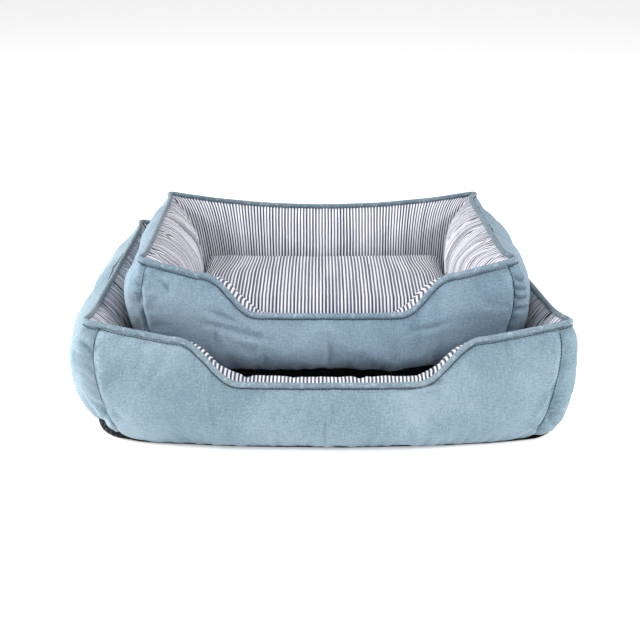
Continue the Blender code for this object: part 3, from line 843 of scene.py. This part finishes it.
def makeFilling(bed, wall):
    look = fillingLook
    rows = look["rows"]
    end = 1 - look["ends"] / halfSizes(bed, wall)[0]
    rings = []
    for w, s in run(bed, wall, -end, end, look["pitch"]):
        ring = [outerPoint(bed, w, s, mix(*look["outer"], i / rows)) for i in range(rows + 1)]
        ring += [innerPoint(bed, w, s, mix(*look["inner"], i / rows)) for i in range(rows + 1)]
        centre = sum(ring, Vector()) / len(ring)
        rings.append([p + (centre - p).normalized() * look["inset"] for p in ring])
    points = []
    for ring in rings:
        centre = sum(ring, Vector()) / len(ring)
        for p in ring:
            lump = noise.noise(p / look["lumpSize"] + Vector((bed["seed"], 0, 0)))
            points.append(p + (centre - p).normalized() * lump * look["lumps"])
    around = len(rings[0])
    faces = gridFaces(len(rings), around, closed=True)
    faces.append(tuple(reversed(range(around))))
    faces.append(tuple((len(rings) - 1) * around + j for j in range(around)))
    obj = meshPiece(pieceName(bed, wall.capitalize() + "Filling"), points, faces, "fibre")
    cleanUp(obj)
    fasten(obj, bed["name"] + "_shell", "fibre", f"{bed['name']}_filling_{wall}")
    return obj


baseShape = {
    "thick": 0.0016,
    "turn": 0.012,                 # radius of the turned edge
    "turnRows": 7,                 # rows up it
    "shares": (0.12, 0.3, 0.5, 0.7, 0.85, 0.94),
    "ripple": 0.0011,
}


def ringOf(bed, offset, height, radius):
    ring = []
    for wall in wallOrder:
        for w, s in run(bed, wall, -1, 1, 0.008)[:-1]:
            rise = height(w, s) if callable(height) else height
            ring.append(placeAt(bed, w, s, shared(bed["hemOut"], w, s) + offset, rise, radius))
    return ring


def makeBase(bed):
    look = baseShape
    rows, turn = look["turnRows"], look["turn"]
    outline = ringOf(bed, -turn, 0.0, bed["hemRadius"] - turn)
    points = []
    for share in look["shares"]:
        points += [bed["middle"].lerp(p, share) for p in outline]
    points += outline
    for k in range(1, rows + 1):
        angle = k / rows * math.pi / 2
        inset = turn * (1 - math.sin(angle)) + 0.0004

        def rise(w, s):
            shake = noiseAt(s * 9, wallOrder.index(w), bed["seed"]) * look["ripple"]
            return (rimHeight(bed, w, s) + 0.0006 + shake * math.sin(angle)) * (1 - math.cos(angle))

        points += ringOf(bed, -inset, rise, bed["hemRadius"] - inset)
    around = len(outline)
    low = bed["middle"].z
    points = [Vector((p.x, p.y, max(p.z, low + look["thick"]))) for p in points]
    faces = gridFaces(len(points) // around, around, closed=True) + [tuple(reversed(range(around)))]
    faces = [tuple(reversed(face)) for face in faces]
    uvs = [(p.x, p.y + (p.z - low)) for p in points]
    obj = meshPiece(pieceName(bed, "BaseFabric"), points, faces, "base", uvs)
    cleanUp(obj)
    thicken(obj, look["thick"], 1.0)
    fasten(obj, bed["name"] + "_shell", "base_cloth", bed["name"] + "_base_fabric")
    return obj


floorLook = {
    "across": 64,
    "deep": 48,
    "thick": 0.0007,
    "ripple": 0.0004,
    "rippleRate": 14,              # to the metre
}


def floorEdge(bed, heading):
    wall = max(wallOrder, key=lambda name: heading.dot(Vector(wallRuns[name][1])))
    return innerPoint(bed, wall, heading.dot(Vector(wallRuns[wall][0])), 1)


def makePadAndFloor(bed):
    look = floorLook
    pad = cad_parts[bed["name"] + "_base_pad"]
    pad.data.materials.clear()
    pad.data.materials.append(finishes["foam"])
    low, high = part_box(bed["name"] + "_well_floor")
    middle = (low + high) / 2
    wide, deep, rate = look["across"], look["deep"], look["rippleRate"]
    points, uvs = [], []
    for i in range(deep + 1):
        for j in range(wide + 1):
            a, b = 2 * j / wide - 1, 2 * i / deep - 1
            reach = max(abs(a), abs(b), 1e-6)
            spot = middle.lerp(floorEdge(bed, Vector((a, b)) / reach), reach)
            wave = noiseAt(spot.x * rate, spot.y * rate, bed["seed"]) * (1 - reach ** 6)
            points.append(Vector((spot.x, spot.y, middle.z + wave * look["ripple"])))
            uvs.append((spot.x - middle.x, spot.y - middle.y))
    faces = gridFaces(deep + 1, wide + 1)
    obj = meshPiece(pieceName(bed, "WellFloor"), points, faces, "ticking", uvs)
    thicken(obj, look["thick"], 0.0)
    fasten(obj, bed["name"] + "_shell", "ticking", bed["name"] + "_well_floor")
    return obj


def roundedSpot(a, b, halfWide, halfDeep, power):
    reach = max(abs(a), abs(b))
    if reach < 1e-9:
        return 0.0, 0.0
    qa, qb = abs(a) / reach, abs(b) / reach
    scale = (qa ** power + qb ** power) ** (-1 / power)
    return halfWide * a * scale, halfDeep * b * scale


pipingLook = {
    "around": 12,
    "pitch": 0.003,
    "uneven": 0.00022,             # how much its thickness varies
    "wander": 0.0006,
    "stitch": 0.0042,              # length of one stitch
    "between": 0.0007,
    # thick enough that the stitch row under the piping also reads as the groove's dark line: partly
    # painted shadow
    "threadRadius": 0.00075,
    "seamThread": (("Left", 0.0003), ("Right", 0.0006)),     # radius of the upright seams' thread
    "threadLift": 0.0006,
    "past": 0.001,                 # how far the front run passes the corners
    "short": 0.0095,               # how far the rim's run ends before it
}


def tubeMesh(points, radius, around, uneven=0.0, seed=0):
    rings, uvs, total = [], [], distances(points)
    last = len(points) - 1
    side = None
    for i, p in enumerate(points):
        ahead = (points[min(i + 1, last)] - points[max(i - 1, 0)]).normalized()
        side = (Vector((0, 0, 1)) if side is None else side)
        side = (side - ahead * side.dot(ahead)).normalized()
        across = ahead.cross(side)
        for k in range(around):
            angle = 2 * math.pi * k / around
            c, s = math.cos(angle), math.sin(angle)
            reach = radius + uneven * noiseAt(total[i] / 0.006, c, s + seed)
            rings.append(p + (side * c + across * s) * reach)
            uvs.append((total[i], radius * angle))
    faces = gridFaces(len(points), around, closed=True)
    for end, turn, step in ((0, -1, -1), (last, 1, 1)):
        ahead = (points[1] - points[0] if end == 0 else points[-1] - points[-2]).normalized() * step
        base = end * around
        first = len(rings)
        for k in range(around):
            rim = (rings[base + k] - points[end]) * 0.7
            rings.append(points[end] + rim + ahead * radius * 0.28)
            uvs.append((total[end] + step * 0.002, radius * 2 * math.pi * k / around))
        rings.append(points[end] + ahead * radius * 0.36)
        uvs.append((total[end] + step * 0.004, 0.0))
        for k in range(around):
            j = (k + 1) % around
            quad = (base + k, base + j, first + j, first + k)
            cap = (first + k, first + j, len(rings) - 1)
            faces.append(quad if turn > 0 else tuple(reversed(quad)))
            faces.append(cap if turn > 0 else tuple(reversed(cap)))
    return rings, faces, uvs


def seamSpot(bed, wall, s):
    height = seamHeight(bed, wall, s) + sewing["pipingRise"]
    return placeAt(bed, wall, s, 0.0, height, sewing["topRadius"])


def makePiping(bed, name, path, node, seed):
    look = pipingLook
    points = []
    for i, (w, s) in enumerate(path):
        spot = seamSpot(bed, w, s)
        spot.z += look["wander"] * noiseAt(i * look["pitch"] / 0.05, seed, 0)
        points.append(spot)
    made = tubeMesh(points, sewing["pipingRadius"], look["around"], look["uneven"], seed)
    obj = meshPiece(pieceName(bed, name), made[0], made[1], bed["name"] + name, made[2])
    cleanUp(obj)
    fasten(obj, bed["name"] + "_shell", "denim", node)
    return obj


def makePipings(bed):
    name = bed["name"]
    pitch = pipingLook["pitch"]
    end = 1 + pipingLook["past"] / halfSizes(bed, "front")[0]
    stop = 1 - pipingLook["short"] / halfSizes(bed, "right")[0]
    front = run(bed, "front", -end, end, pitch)
    makePiping(bed, "FrontPiping", front, name + "_piping_front", bed["seed"])
    rim = run(bed, "right", -stop, 1, pitch)[:-1] + run(bed, "back", -1, 1, pitch)
    rim += run(bed, "left", -1, stop, pitch)[1:]
    makePiping(bed, "RimPiping", rim, name + "_piping_rim", bed["seed"] + 1)


def stitchRow(bed, name, line, radius, finish, length, between):
    points, faces = [], []
    total = distances(line)
    at, k = 0.0, 0

    def along(d):
        nonlocal k
        while k < len(total) - 2 and total[k + 1] < d:
            k += 1
        return line[k].lerp(line[k + 1], clamp((d - total[k]) / max(1e-9, total[k + 1] - total[k])))

    while at + length < total[-1]:
        stops = [along(at + length * q) for q in (0.0, 0.18, 0.5, 0.82, 1.0)]
        ahead = (stops[-1] - stops[0]).normalized()
        side = ahead.orthogonal().normalized()
        across = ahead.cross(side)
        first = len(points)
        for p, girth in zip(stops, (0.25, 0.85, 1.0, 0.85, 0.25)):
            for q in range(6):
                angle = q / 6 * 2 * math.pi
                around = side * math.cos(angle) + across * math.sin(angle)
                points.append(p + around * radius * girth)
        faces += [tuple(first + c for c in face) for face in gridFaces(5, 6, closed=True)]
        faces.append(tuple(first + q for q in reversed(range(6))))
        faces.append(tuple(first + 24 + q for q in range(6)))
        at += length + between
    obj = meshPiece(pieceName(bed, name), points, faces, finish)
    cleanUp(obj)
    return obj


def coverLine(obj, wide, row, lift):
    mesh = obj.data
    line = []
    for j in range(wide):
        vertex = mesh.vertices[row * wide + j]
        line.append(vertex.co + vertex.normal * lift)
    return line


def makeSeamStitches(bed, covers):
    look = pipingLook
    rows = coverLook["rows"]
    step = ("thread", look["stitch"], look["between"])
    for wall in wallOrder:
        # the row just under the piping: real stitches, and also standing in for the shadow in the
        # groove there, so partly painted shade
        line = coverLine(covers[wall], len(coverPath(bed, wall)), rows - 2, look["threadLift"])
        obj = stitchRow(bed, wall.capitalize() + "TopStitchesAndGrooveShade", line, look["threadRadius"], *step)
        fasten(obj, bed["name"] + "_shell", "denim")
    points = covers["front"].data.vertices
    wide = len(coverPath(bed, "front"))
    for (side, radius), column in zip(look["seamThread"], (0, wide - 1)):
        line = [points[row * wide + column].co.copy() for row in range(2, rows - 1)]
        out = (line[len(line) // 2] - bed["middle"]).normalized()
        out = Vector((out.x, out.y, 0)).normalized() * look["threadLift"]
        obj = stitchRow(bed, side + "SeamStitches", [p + out for p in line], radius, *step)
        fasten(obj, bed["name"] + "_shell", "denim")


seatLook = {
    "wide": 76,
    "deep": 58,
    "growth": 0.024,
    "pressure": 3.0,
    "cap": 0.005,
    "pucker": 0.0018,
    "slack": 0.0016,
    "overhang": 0.022,             # how far the stuffed top hangs over its rear seam
    "sideways": (0.027, 0.016),
    "rearDrop": 0.010,
    "crowding": 0.55,              # how much closer the cloth's points stand near the edge
    "edgePower": 14,               # how square the seat's edge is
    "stripeTurn": 0.03,
    "fan": 0.55,                   # how far the stripes lean towards the rear corners
    "fanReach": 0.022,
}


def seatSizes(bed):
    across = bed["depth"] - bed["cushionFront"] - bed["cushionBack"]
    centre = bed["middle"] + Vector((0, (bed["cushionFront"] - bed["cushionBack"]) / 2, 0))
    return centre, bed["length"] / 2 - bed["cushionSide"], across / 2


def makeSeatPanel(bed, upper):
    look = seatLook
    centre, halfWide, halfDeep = seatSizes(bed)
    peak = bed["cushionCrown"] if upper else sewing["floorHeight"]
    edge = sewing["cushionSeam"] + (0.0006 if upper else -0.0006)
    wide, deep = look["wide"], look["deep"]
    points, uvs, rim = [], [], []

    def crowded(share):
        return mix(share, math.sin(share * math.pi / 2), look["crowding"])

    for i in range(deep + 1):
        for j in range(wide + 1):
            a, b = crowded(2 * j / wide - 1), crowded(2 * i / deep - 1)
            reach = max(abs(a), abs(b))
            x, y = roundedSpot(a, b, halfWide, halfDeep, sewing["cushionCorner"])
            lift = math.sqrt(max(0.0, 1 - reach ** look["edgePower"]))
            height = mix(edge, peak, lift)
            if upper:
                proud = math.sin(math.pi * lift ** 3)
                further = look["sideways"][0 if a < 0 else 1]
                x += math.copysign(further * proud * smooth((abs(a) - 0.5) / 0.5), a)
                y += look["overhang"] * proud * smooth((b - 0.3) / 0.6)
                height -= look["rearDrop"] * smooth((b + 0.1) / 1.1) * lift
            angle = math.atan2(b, a)
            gather = noiseAt(math.cos(angle) * 14, math.sin(angle) * 14, bed["seed"])
            fades = math.exp(-(1 - reach) / 0.10) * clamp((1 - reach) / 0.02)
            broad = noiseAt(x / 0.11, y / 0.09, bed["seed"] + 2) * (1 - reach ** 4)
            depth = look["pucker"] * gather * fades + look["slack"] * broad
            height += depth * (1 if upper else -0.3)
            if reach > 1 - 1e-6:
                rim.append(len(points))
            points.append(centre + Vector((x, y, height)))
            near = smooth((abs(x) / halfWide - 0.35) / 0.65) * smooth((y / halfDeep + 0.2) / 1.2)
            lean = look["fan"] * near * math.copysign(look["fanReach"], x)
            uvs.append((x + lean, y - (1 - lift) * math.copysign(look["stripeTurn"], b)))
    faces = gridFaces(deep + 1, wide + 1)
    if not upper:
        faces = [tuple(reversed(face)) for face in faces]
    words = "SeatTop" if upper else "SeatUnderside"
    obj = meshPiece(pieceName(bed, words), points, faces, "seatTicking", uvs)
    hold(obj, rim)
    node = bed["name"] + ("_cushion_top" if upper else "_cushion_underside")
    fasten(obj, bed["name"] + "_cushion", "ticking", node)
    sewn.append((obj, look))
    return obj


seatFillingLook = {
    "wide": 40,
    "deep": 30,
    "inset": 0.012,
    "under": 0.009,                # below the seat's crown
    "over": 0.006,                 # above the well's floor
    "lumps": 0.002,
    "lumpSize": 0.04,
}


def makeSeatFilling(bed):
    look = seatFillingLook
    centre, halfWide, halfDeep = seatSizes(bed)
    inset, size, points = look["inset"], look["lumpSize"], []
    wide, deep = look["wide"], look["deep"]
    for level, peak in ((1, bed["cushionCrown"] - look["under"]),
                        (-1, sewing["floorHeight"] + look["over"])):
        for i in range(deep + 1):
            for j in range(wide + 1):
                a, b = 2 * j / wide - 1, 2 * i / deep - 1
                reach = max(abs(a), abs(b))
                x, y = roundedSpot(a, b, halfWide - inset, halfDeep - inset, sewing["cushionCorner"])
                height = mix(sewing["cushionSeam"], peak, math.sqrt(max(0.0, 1 - reach ** 6)))
                lump = noiseAt(x / size, y / size, level + bed["seed"]) * look["lumps"]
                points.append(centre + Vector((x, y, height + lump * (1 - reach))))
    sheet = gridFaces(deep + 1, wide + 1)
    count = (deep + 1) * (wide + 1)
    faces = sheet + [tuple(count + c for c in reversed(face)) for face in sheet]
    obj = meshPiece(pieceName(bed, "SeatFilling"), points, faces, "fibre")
    cleanUp(obj, 0.00005)
    fasten(obj, bed["name"] + "_cushion", "fibre", bed["name"] + "_cushion_filling")
    return obj


zipLook = {
    "toothPitch": 0.0015,
    "toothSize": (0.0009, 0.0016, 0.0030),
    "toothStagger": 0.0009,
    "toothSoftness": 0.00028,
    "tapeGrid": (160, 8),
    "tapeThick": 0.0006,
    "tapeWave": 0.00012,
    "stitchInset": 0.0026,
    "stitch": (0.0003, "thread", 0.0028, 0.0006),     # radius, finish, length, gap
    "bridgeRadius": 0.0009,
}


def boxPoints(centre, size):
    return [centre + Vector((x * size[0] / 2, y * size[1] / 2, z * size[2] / 2))
            for x in (-1, 1) for y in (-1, 1) for z in (-1, 1)]


boxFaces = [(0, 1, 3, 2), (4, 6, 7, 5), (0, 4, 5, 1), (2, 3, 7, 6), (0, 2, 6, 4), (1, 5, 7, 3)]


def soften(obj, width):
    edge = obj.modifiers.new("Softened", "BEVEL")
    edge.width = width
    edge.segments = 2
    edge.limit_method = "ANGLE"


def outlinePlate(name, outline, holes, thick, finish, middle):
    curve = bpy.data.curves.new(name, "CURVE")
    curve.dimensions = "2D"
    curve.fill_mode = "BOTH"
    curve.extrude = thick / 2 * 0.7
    curve.bevel_depth = thick / 2 * 0.3
    curve.bevel_resolution = 2
    for loop in [outline] + holes:
        spline = curve.splines.new("POLY")
        spline.points.add(len(loop) - 1)
        for point, place in zip(spline.points, loop):
            point.co = (place[0], place[1], 0, 1)
        spline.use_cyclic_u = True
    holder = bpy.data.objects.new(name + "Outline", curve)
    bpy.context.scene.collection.objects.link(holder)
    bpy.context.view_layer.update()
    graph = bpy.context.evaluated_depsgraph_get()
    mesh = bpy.data.meshes.new_from_object(holder.evaluated_get(graph))
    bpy.data.objects.remove(holder)
    points = [middle + Vector((v.co.x, v.co.z, v.co.y)) for v in mesh.vertices]
    faces = [tuple(polygon.vertices) for polygon in mesh.polygons]
    obj = meshPiece(name, points, faces, finish)
    cleanUp(obj, 0.00005)
    return obj


def ringPoints(centre, radius, count=20, start=0.0, end=2 * math.pi):
    return [(centre[0] + radius * math.cos(mix(start, end, i / count)),
             centre[1] + radius * math.sin(mix(start, end, i / count))) for i in range(count)]


def makeZip(bed):
    name, look = bed["name"], zipLook
    low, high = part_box(name + "_zip_tape")
    centre = (low + high) / 2
    points, uvs = [], []
    columns, rows = look["tapeGrid"]
    for i in range(rows + 1):
        for j in range(columns + 1):
            x, z = mix(low.x, high.x, j / columns), mix(low.z, high.z, i / rows)
            wave = look["tapeWave"] * math.sin(x * 210 + i) * abs(2 * i / rows - 1)
            points.append(Vector((x, centre.y + wave, z)))
            uvs.append((x, z))
    tape = meshPiece(name + "ZipTape", points, gridFaces(rows + 1, columns + 1), "zipCloth", uvs)
    thicken(tape, look["tapeThick"], 0.0)
    fasten(tape, name + "_cushion", "zip_cloth", name + "_zip_tape")
    for words, z in (("UpperZipStitches", high.z - look["stitchInset"]),
                     ("LowerZipStitches", low.z + look["stitchInset"])):
        line = [Vector((mix(low.x, high.x, k / 60), high.y + 0.0001, z)) for k in range(61)]
        fasten(stitchRow(bed, words, line, *look["stitch"]), name + "_cushion", "zip_cloth")
    low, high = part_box(name + "_zip_teeth")
    centre = (low + high) / 2
    pitch, points, faces = look["toothPitch"], [], []
    for k in range(int((high.x - low.x) / pitch)):
        stagger = look["toothStagger"] * (1 if k % 2 else -1)
        spot = Vector((low.x + (k + 0.5) * pitch, centre.y, centre.z + stagger))
        faces += [tuple(len(points) + c for c in face) for face in boxFaces]
        points += boxPoints(spot, look["toothSize"])
    teeth = meshPiece(name + "ZipTeeth", points, faces, "coil")
    cleanUp(teeth)
    soften(teeth, look["toothSoftness"])
    fasten(teeth, name + "_cushion", "zip_teeth", name + "_zip_teeth")
    makeSlider(bed)
    makePull(bed)


def makeSlider(bed):
    name = bed["name"]
    low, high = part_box(name + "_zip_slider")
    centre = (low + high) / 2
    long, tall, deep = high.x - low.x, high.z - low.z, high.y - low.y
    nose, waist, cheek = long / 2, tall * 0.36, tall / 2
    outline = [(-nose, -waist), (-nose * 0.2, -cheek), (nose * 0.7, -cheek), (nose, -tall * 0.34),
               (nose, tall * 0.34), (nose * 0.7, cheek), (-nose * 0.2, cheek), (-nose, waist)]
    plate = outlinePlate(name + "ZipSlider", outline, [], deep * 0.34, "zinc",
                         centre - Vector((0, deep * 0.33, 0)))
    fasten(plate, name + "_zip_slider", "zip_metal", name + "_zip_slider")
    arch = []
    for k in range(13):
        angle = math.pi * k / 12
        x, y = -math.cos(angle) * long * 0.32, -deep * 0.2 + math.sin(angle) * deep * 0.55
        arch.append(centre + Vector((x, y, 0)))
    made = tubeMesh(arch, zipLook["bridgeRadius"], 10)
    bridge = meshPiece(name + "ZipBridge", made[0], made[1], "zinc")
    cleanUp(bridge)
    fasten(bridge, name + "_zip_slider", "zip_metal")


def makePull(bed):
    name = bed["name"]
    low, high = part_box(name + "_zip_pull")
    centre = (low + high) / 2
    long, tall = high.x - low.x, high.z - low.z
    tip, neck, foot = tall * 0.5, tall * 0.30, tall * 0.36
    left, right = -long / 2, long / 2
    outline = ringPoints((left + tip, 0), tip, 14, math.pi / 2, 3 * math.pi / 2)
    outline += [(left + long * 0.55, -neck), (right - foot, -foot)]
    outline += ringPoints((right - foot, 0), foot, 12, -math.pi / 2, math.pi / 2)
    outline += [(right - foot, foot), (left + long * 0.55, neck)]
    holes = [ringPoints((left + tip, 0), tip * 0.45), ringPoints((right - foot, 0), foot * 0.5)]
    pull = outlinePlate(name + "ZipPull", outline, holes, high.y - low.y, "zinc", centre)
    fasten(pull, name + "_zip_pull", "zip_metal", name + "_zip_pull")


clothLook = {                      # how the sewn cloth stretches and bends while it is puffed
    "quality": 5,
    "mass": 0.3,
    "tension_stiffness": 12,
    "compression_stiffness": 12,
    "shear_stiffness": 4,
    "bending_stiffness": 0.35,
}
puffSteps = 20


def puffAll():
    scene = bpy.context.scene
    starts = []
    for obj, look in sewn:
        cloth = obj.modifiers.new("Cloth", "CLOTH")
        settings = cloth.settings
        for key, value in clothLook.items():
            setattr(settings, key, value)
        settings.shrink_min = -look["growth"]
        settings.shrink_max = -look["growth"]
        settings.use_pressure = True
        settings.uniform_pressure_force = look["pressure"]
        settings.effector_weights.gravity = 0.0
        settings.vertex_group_mass = "held"
        cloth.collision_settings.use_collision = False
        cloth.collision_settings.use_self_collision = False
        starts.append([v.co.copy() for v in obj.data.vertices])
    for step in range(1, puffSteps + 1):
        scene.frame_set(step)
    graph = bpy.context.evaluated_depsgraph_get()
    for (obj, look), start in zip(sewn, starts):
        held = obj.evaluated_get(graph).to_mesh()
        moved = [v.co.copy() for v in held.vertices]
        obj.evaluated_get(graph).to_mesh_clear()
        obj.modifiers.clear()
        furthest = 0.0
        for vertex, here, there in zip(obj.data.vertices, start, moved):
            shift = there - here
            length = shift.length
            furthest = max(furthest, length)
            if length > 1e-9:                      # a soft cap: long moves are eased, not cut off
                eased = look["cap"] * math.tanh(length / look["cap"])
                shift *= eased / length
            vertex.co = here + shift
        print(f"  {obj.name} wanted to move {furthest * 1000:.1f} mm")
    scene.frame_set(1)


def keepUnder(obj, ceiling):
    for vertex in obj.data.vertices:
        if vertex.co.z > ceiling:
            vertex.co.z = ceiling - 0.0002 * math.tanh((vertex.co.z - ceiling) / 0.002)


def refine(obj):
    fine = obj.modifiers.new("Fine", "SUBSURF")
    fine.levels = 1
    fine.render_levels = 1
    graph = bpy.context.evaluated_depsgraph_get()
    mesh = bpy.data.meshes.new_from_object(obj.evaluated_get(graph))
    obj.modifiers.clear()
    obj.data = mesh
    mesh.name = obj.name


wrinkleLook = {
    "ridge": 0.55,                 # a crease's raised lips against its depth
    "strength": 2.0,
    "foldDepth": 0.0022,           # creases that run over the linings
    "foldEvery": 0.040,
    "foldRun": 0.16,
    "foldWidth": 0.055,
    "quietShare": 0.35,            # of that on the front and back linings
    "fine": 0.00030,               # the cloth's faint crumple everywhere
    "fineSize": 0.011,
    "spread": 1.2,
    "closed": 0.004,
}


def crease(across, along, length, width):
    valley = math.exp(-(across / width) ** 2)
    lips = math.exp(-((abs(across) - 2.1 * width) / (1.3 * width)) ** 2)
    return (wrinkleLook["ridge"] * lips - valley) * math.exp(-(along / length) ** 2)


def clothSpots(mesh):
    spots = [None] * len(mesh.vertices)
    layer = mesh.uv_layers["cloth"].data
    for loop in mesh.loops:
        if spots[loop.vertex_index] is None:
            spots[loop.vertex_index] = layer[loop.index].uv
    return spots


def pushAll(obj, depths):
    normals = [vertex.normal.copy() for vertex in obj.data.vertices]
    for vertex, normal, depth in zip(obj.data.vertices, normals, depths):
        vertex.co += normal * depth


def wrinkleCover(bed, wall, obj):
    look = wrinkleLook
    along = Vector(wallRuns[wall][0]).to_3d()
    marks = [mark[1:] for mark in bed["wrinkles"] if mark[0] == wall]
    spots = clothSpots(obj.data)
    first, last = min(u for u, v in spots), max(u for u, v in spots)
    depths = []
    for vertex, (u, v) in zip(obj.data.vertices, spots):
        at = {"right": u - first, "left": last - u}.get(wall, along.dot(vertex.co - bed["middle"]))
        up = vertex.co.z - bed["middle"].z
        depth = look["fine"] * softNoise(u / look["fineSize"], v / look["fineSize"], bed["seed"])
        for place, height, length, width, slope, deep in marks:
            dx, dz = at - place, up - height
            level, rise = math.cos(math.atan(slope)), math.sin(math.atan(slope))
            across, down = dz * level - dx * rise, dx * level + dz * rise
            fold = crease(across, down, length, width * look["spread"])
            depth += look["strength"] * deep * fold
        depths.append(depth * clamp(min(u - first, last - u) / look["closed"]))   # seams stay shut
    pushAll(obj, depths)


def wrinkleLining(bed, wall, obj):
    look = wrinkleLook
    seed = seedOf(bed, wall) + 9
    sideways = 1.0 if wall in ("left", "right") else look["quietShare"]
    spots = clothSpots(obj.data)
    tall = max(v for u, v in spots)
    depths = []
    for u, v in spots:
        pattern = softNoise(u / look["foldEvery"], v / look["foldRun"], seed)
        sharp = math.exp(-(pattern / look["foldWidth"]) ** 2)
        reach = softNoise(u / 0.06, 0.0, seed + 2)
        fades = clamp(v / 0.006) * clamp((0.50 + 0.6 * reach) - v / tall, 0.0, 0.25) * 4
        depths.append(-look["foldDepth"] * sideways * sharp * fades)
    pushAll(obj, depths)


def makeBed(bed):
    measureBed(bed)
    covers = {wall: makeCover(bed, wall) for wall in wallOrder}
    linings = {wall: makeLining(bed, wall) for wall in wallOrder}
    for wall in wallOrder:
        makeFilling(bed, wall)
    makeBase(bed)
    makePadAndFloor(bed)
    makePipings(bed)
    seats = [makeSeatPanel(bed, True), makeSeatPanel(bed, False)]
    makeSeatFilling(bed)
    makeZip(bed)
    print(bed["name"], "bed cut out")
    return covers, linings, seats


made = {bed["name"]: makeBed(bed) for bed in (largeBed, smallBed)}
puffAll()
print("cloth puffed:", len(sewn), "panels")
for bed in (largeBed, smallBed):
    covers, linings, seats = made[bed["name"]]
    keepUnder(seats[0], bed["middle"].z + bed["cushionCrown"] + bed["cushionPuff"])
    makeSeamStitches(bed, covers)
    for wall in wallOrder:
        for piece, wrinkle in ((covers[wall], wrinkleCover), (linings[wall], wrinkleLining)):
            refine(piece)
            wrinkle(bed, wall, piece)
    for seat in seats:
        refine(seat)
for obj, look in sewn:
    thicken(obj, sewing["clothThick"], -1.0)
print("seams stitched, cloth creased")


studio = {
    "floorColour": tone(250, 250, 250),
    "floorSpecks": (tone(249, 249, 249), tone(252, 252, 252)),
    "floorReach": 20.0,
    "floorDrop": -0.0006,
    "cameraPlace": (0.0043, -2.045, 0.827),
    "cameraPitch": 70.0,
    "lens": 73.75,
    "sensor": 36.0,
    "worldStrength": 0.52,
    "floorGlow": 0.34,
    "lamps": (                     # place, aims at, size, power
        ((-2.6, -0.4, 1.4), (-0.2, 0, 0.1), 1.6, 96.0),
        ((-2.4, 0.25, 0.45), (-0.3, 0, 0.12), 0.8, 22.0),
        ((2.5, -1.0, 1.6), (0.2, 0, 0.1), 1.6, 70.0),
        ((0.0, -0.6, 2.6), (0, 0, 0.1), 2.0, 14.0),
    ),
}


def makeStudio():
    scene = bpy.context.scene
    scene.view_settings.view_transform = "Standard"
    floorMesh = bpy.data.meshes.new("floor")
    far, drop = studio["floorReach"], studio["floorDrop"]
    corners = [(x * far, y * far, drop) for x, y in ((-1, -1), (1, -1), (1, 1), (-1, 1))]
    floorMesh.from_pydata(corners, [], [(0, 1, 2, 3)])
    floor = bpy.data.objects.new("floor", floorMesh)
    scene.collection.objects.link(floor)
    paper = Finish("paperFloor", studio["floorColour"], 0.9, Emission_Color=(1, 1, 1, 1),
                   Emission_Strength=studio["floorGlow"])
    speck = paper.grain(paper.add("TexCoord").outputs["Object"], 30, 2.0)
    floorMesh.materials.append(paper.finish(paper.blendOf(speck, *studio["floorSpecks"])))
    world = bpy.data.worlds.new("studioWorld")
    world.use_nodes = True
    sky = world.node_tree.nodes["Background"]
    sky.inputs[0].default_value = (1, 1, 1, 1)
    sky.inputs[1].default_value = studio["worldStrength"]
    scene.world = world
    for k, (place, aim, size, power) in enumerate(studio["lamps"]):
        data = bpy.data.lights.new(f"softbox{k}", "AREA")
        data.size = size
        data.energy = power
        lamp = bpy.data.objects.new(f"softbox{k}", data)
        lamp.location = place
        lamp.rotation_euler = (Vector(aim) - Vector(place)).to_track_quat("-Z", "Y").to_euler()
        scene.collection.objects.link(lamp)
    data = bpy.data.cameras.new("camera")
    data.sensor_width = studio["sensor"]
    data.lens = studio["lens"]
    data.clip_end = 100
    camera = bpy.data.objects.new("camera", data)
    camera.location = studio["cameraPlace"]
    camera.rotation_euler = (math.radians(studio["cameraPitch"]), 0, 0)
    scene.collection.objects.link(camera)
    scene.camera = camera


makeStudio()
print("studio set")
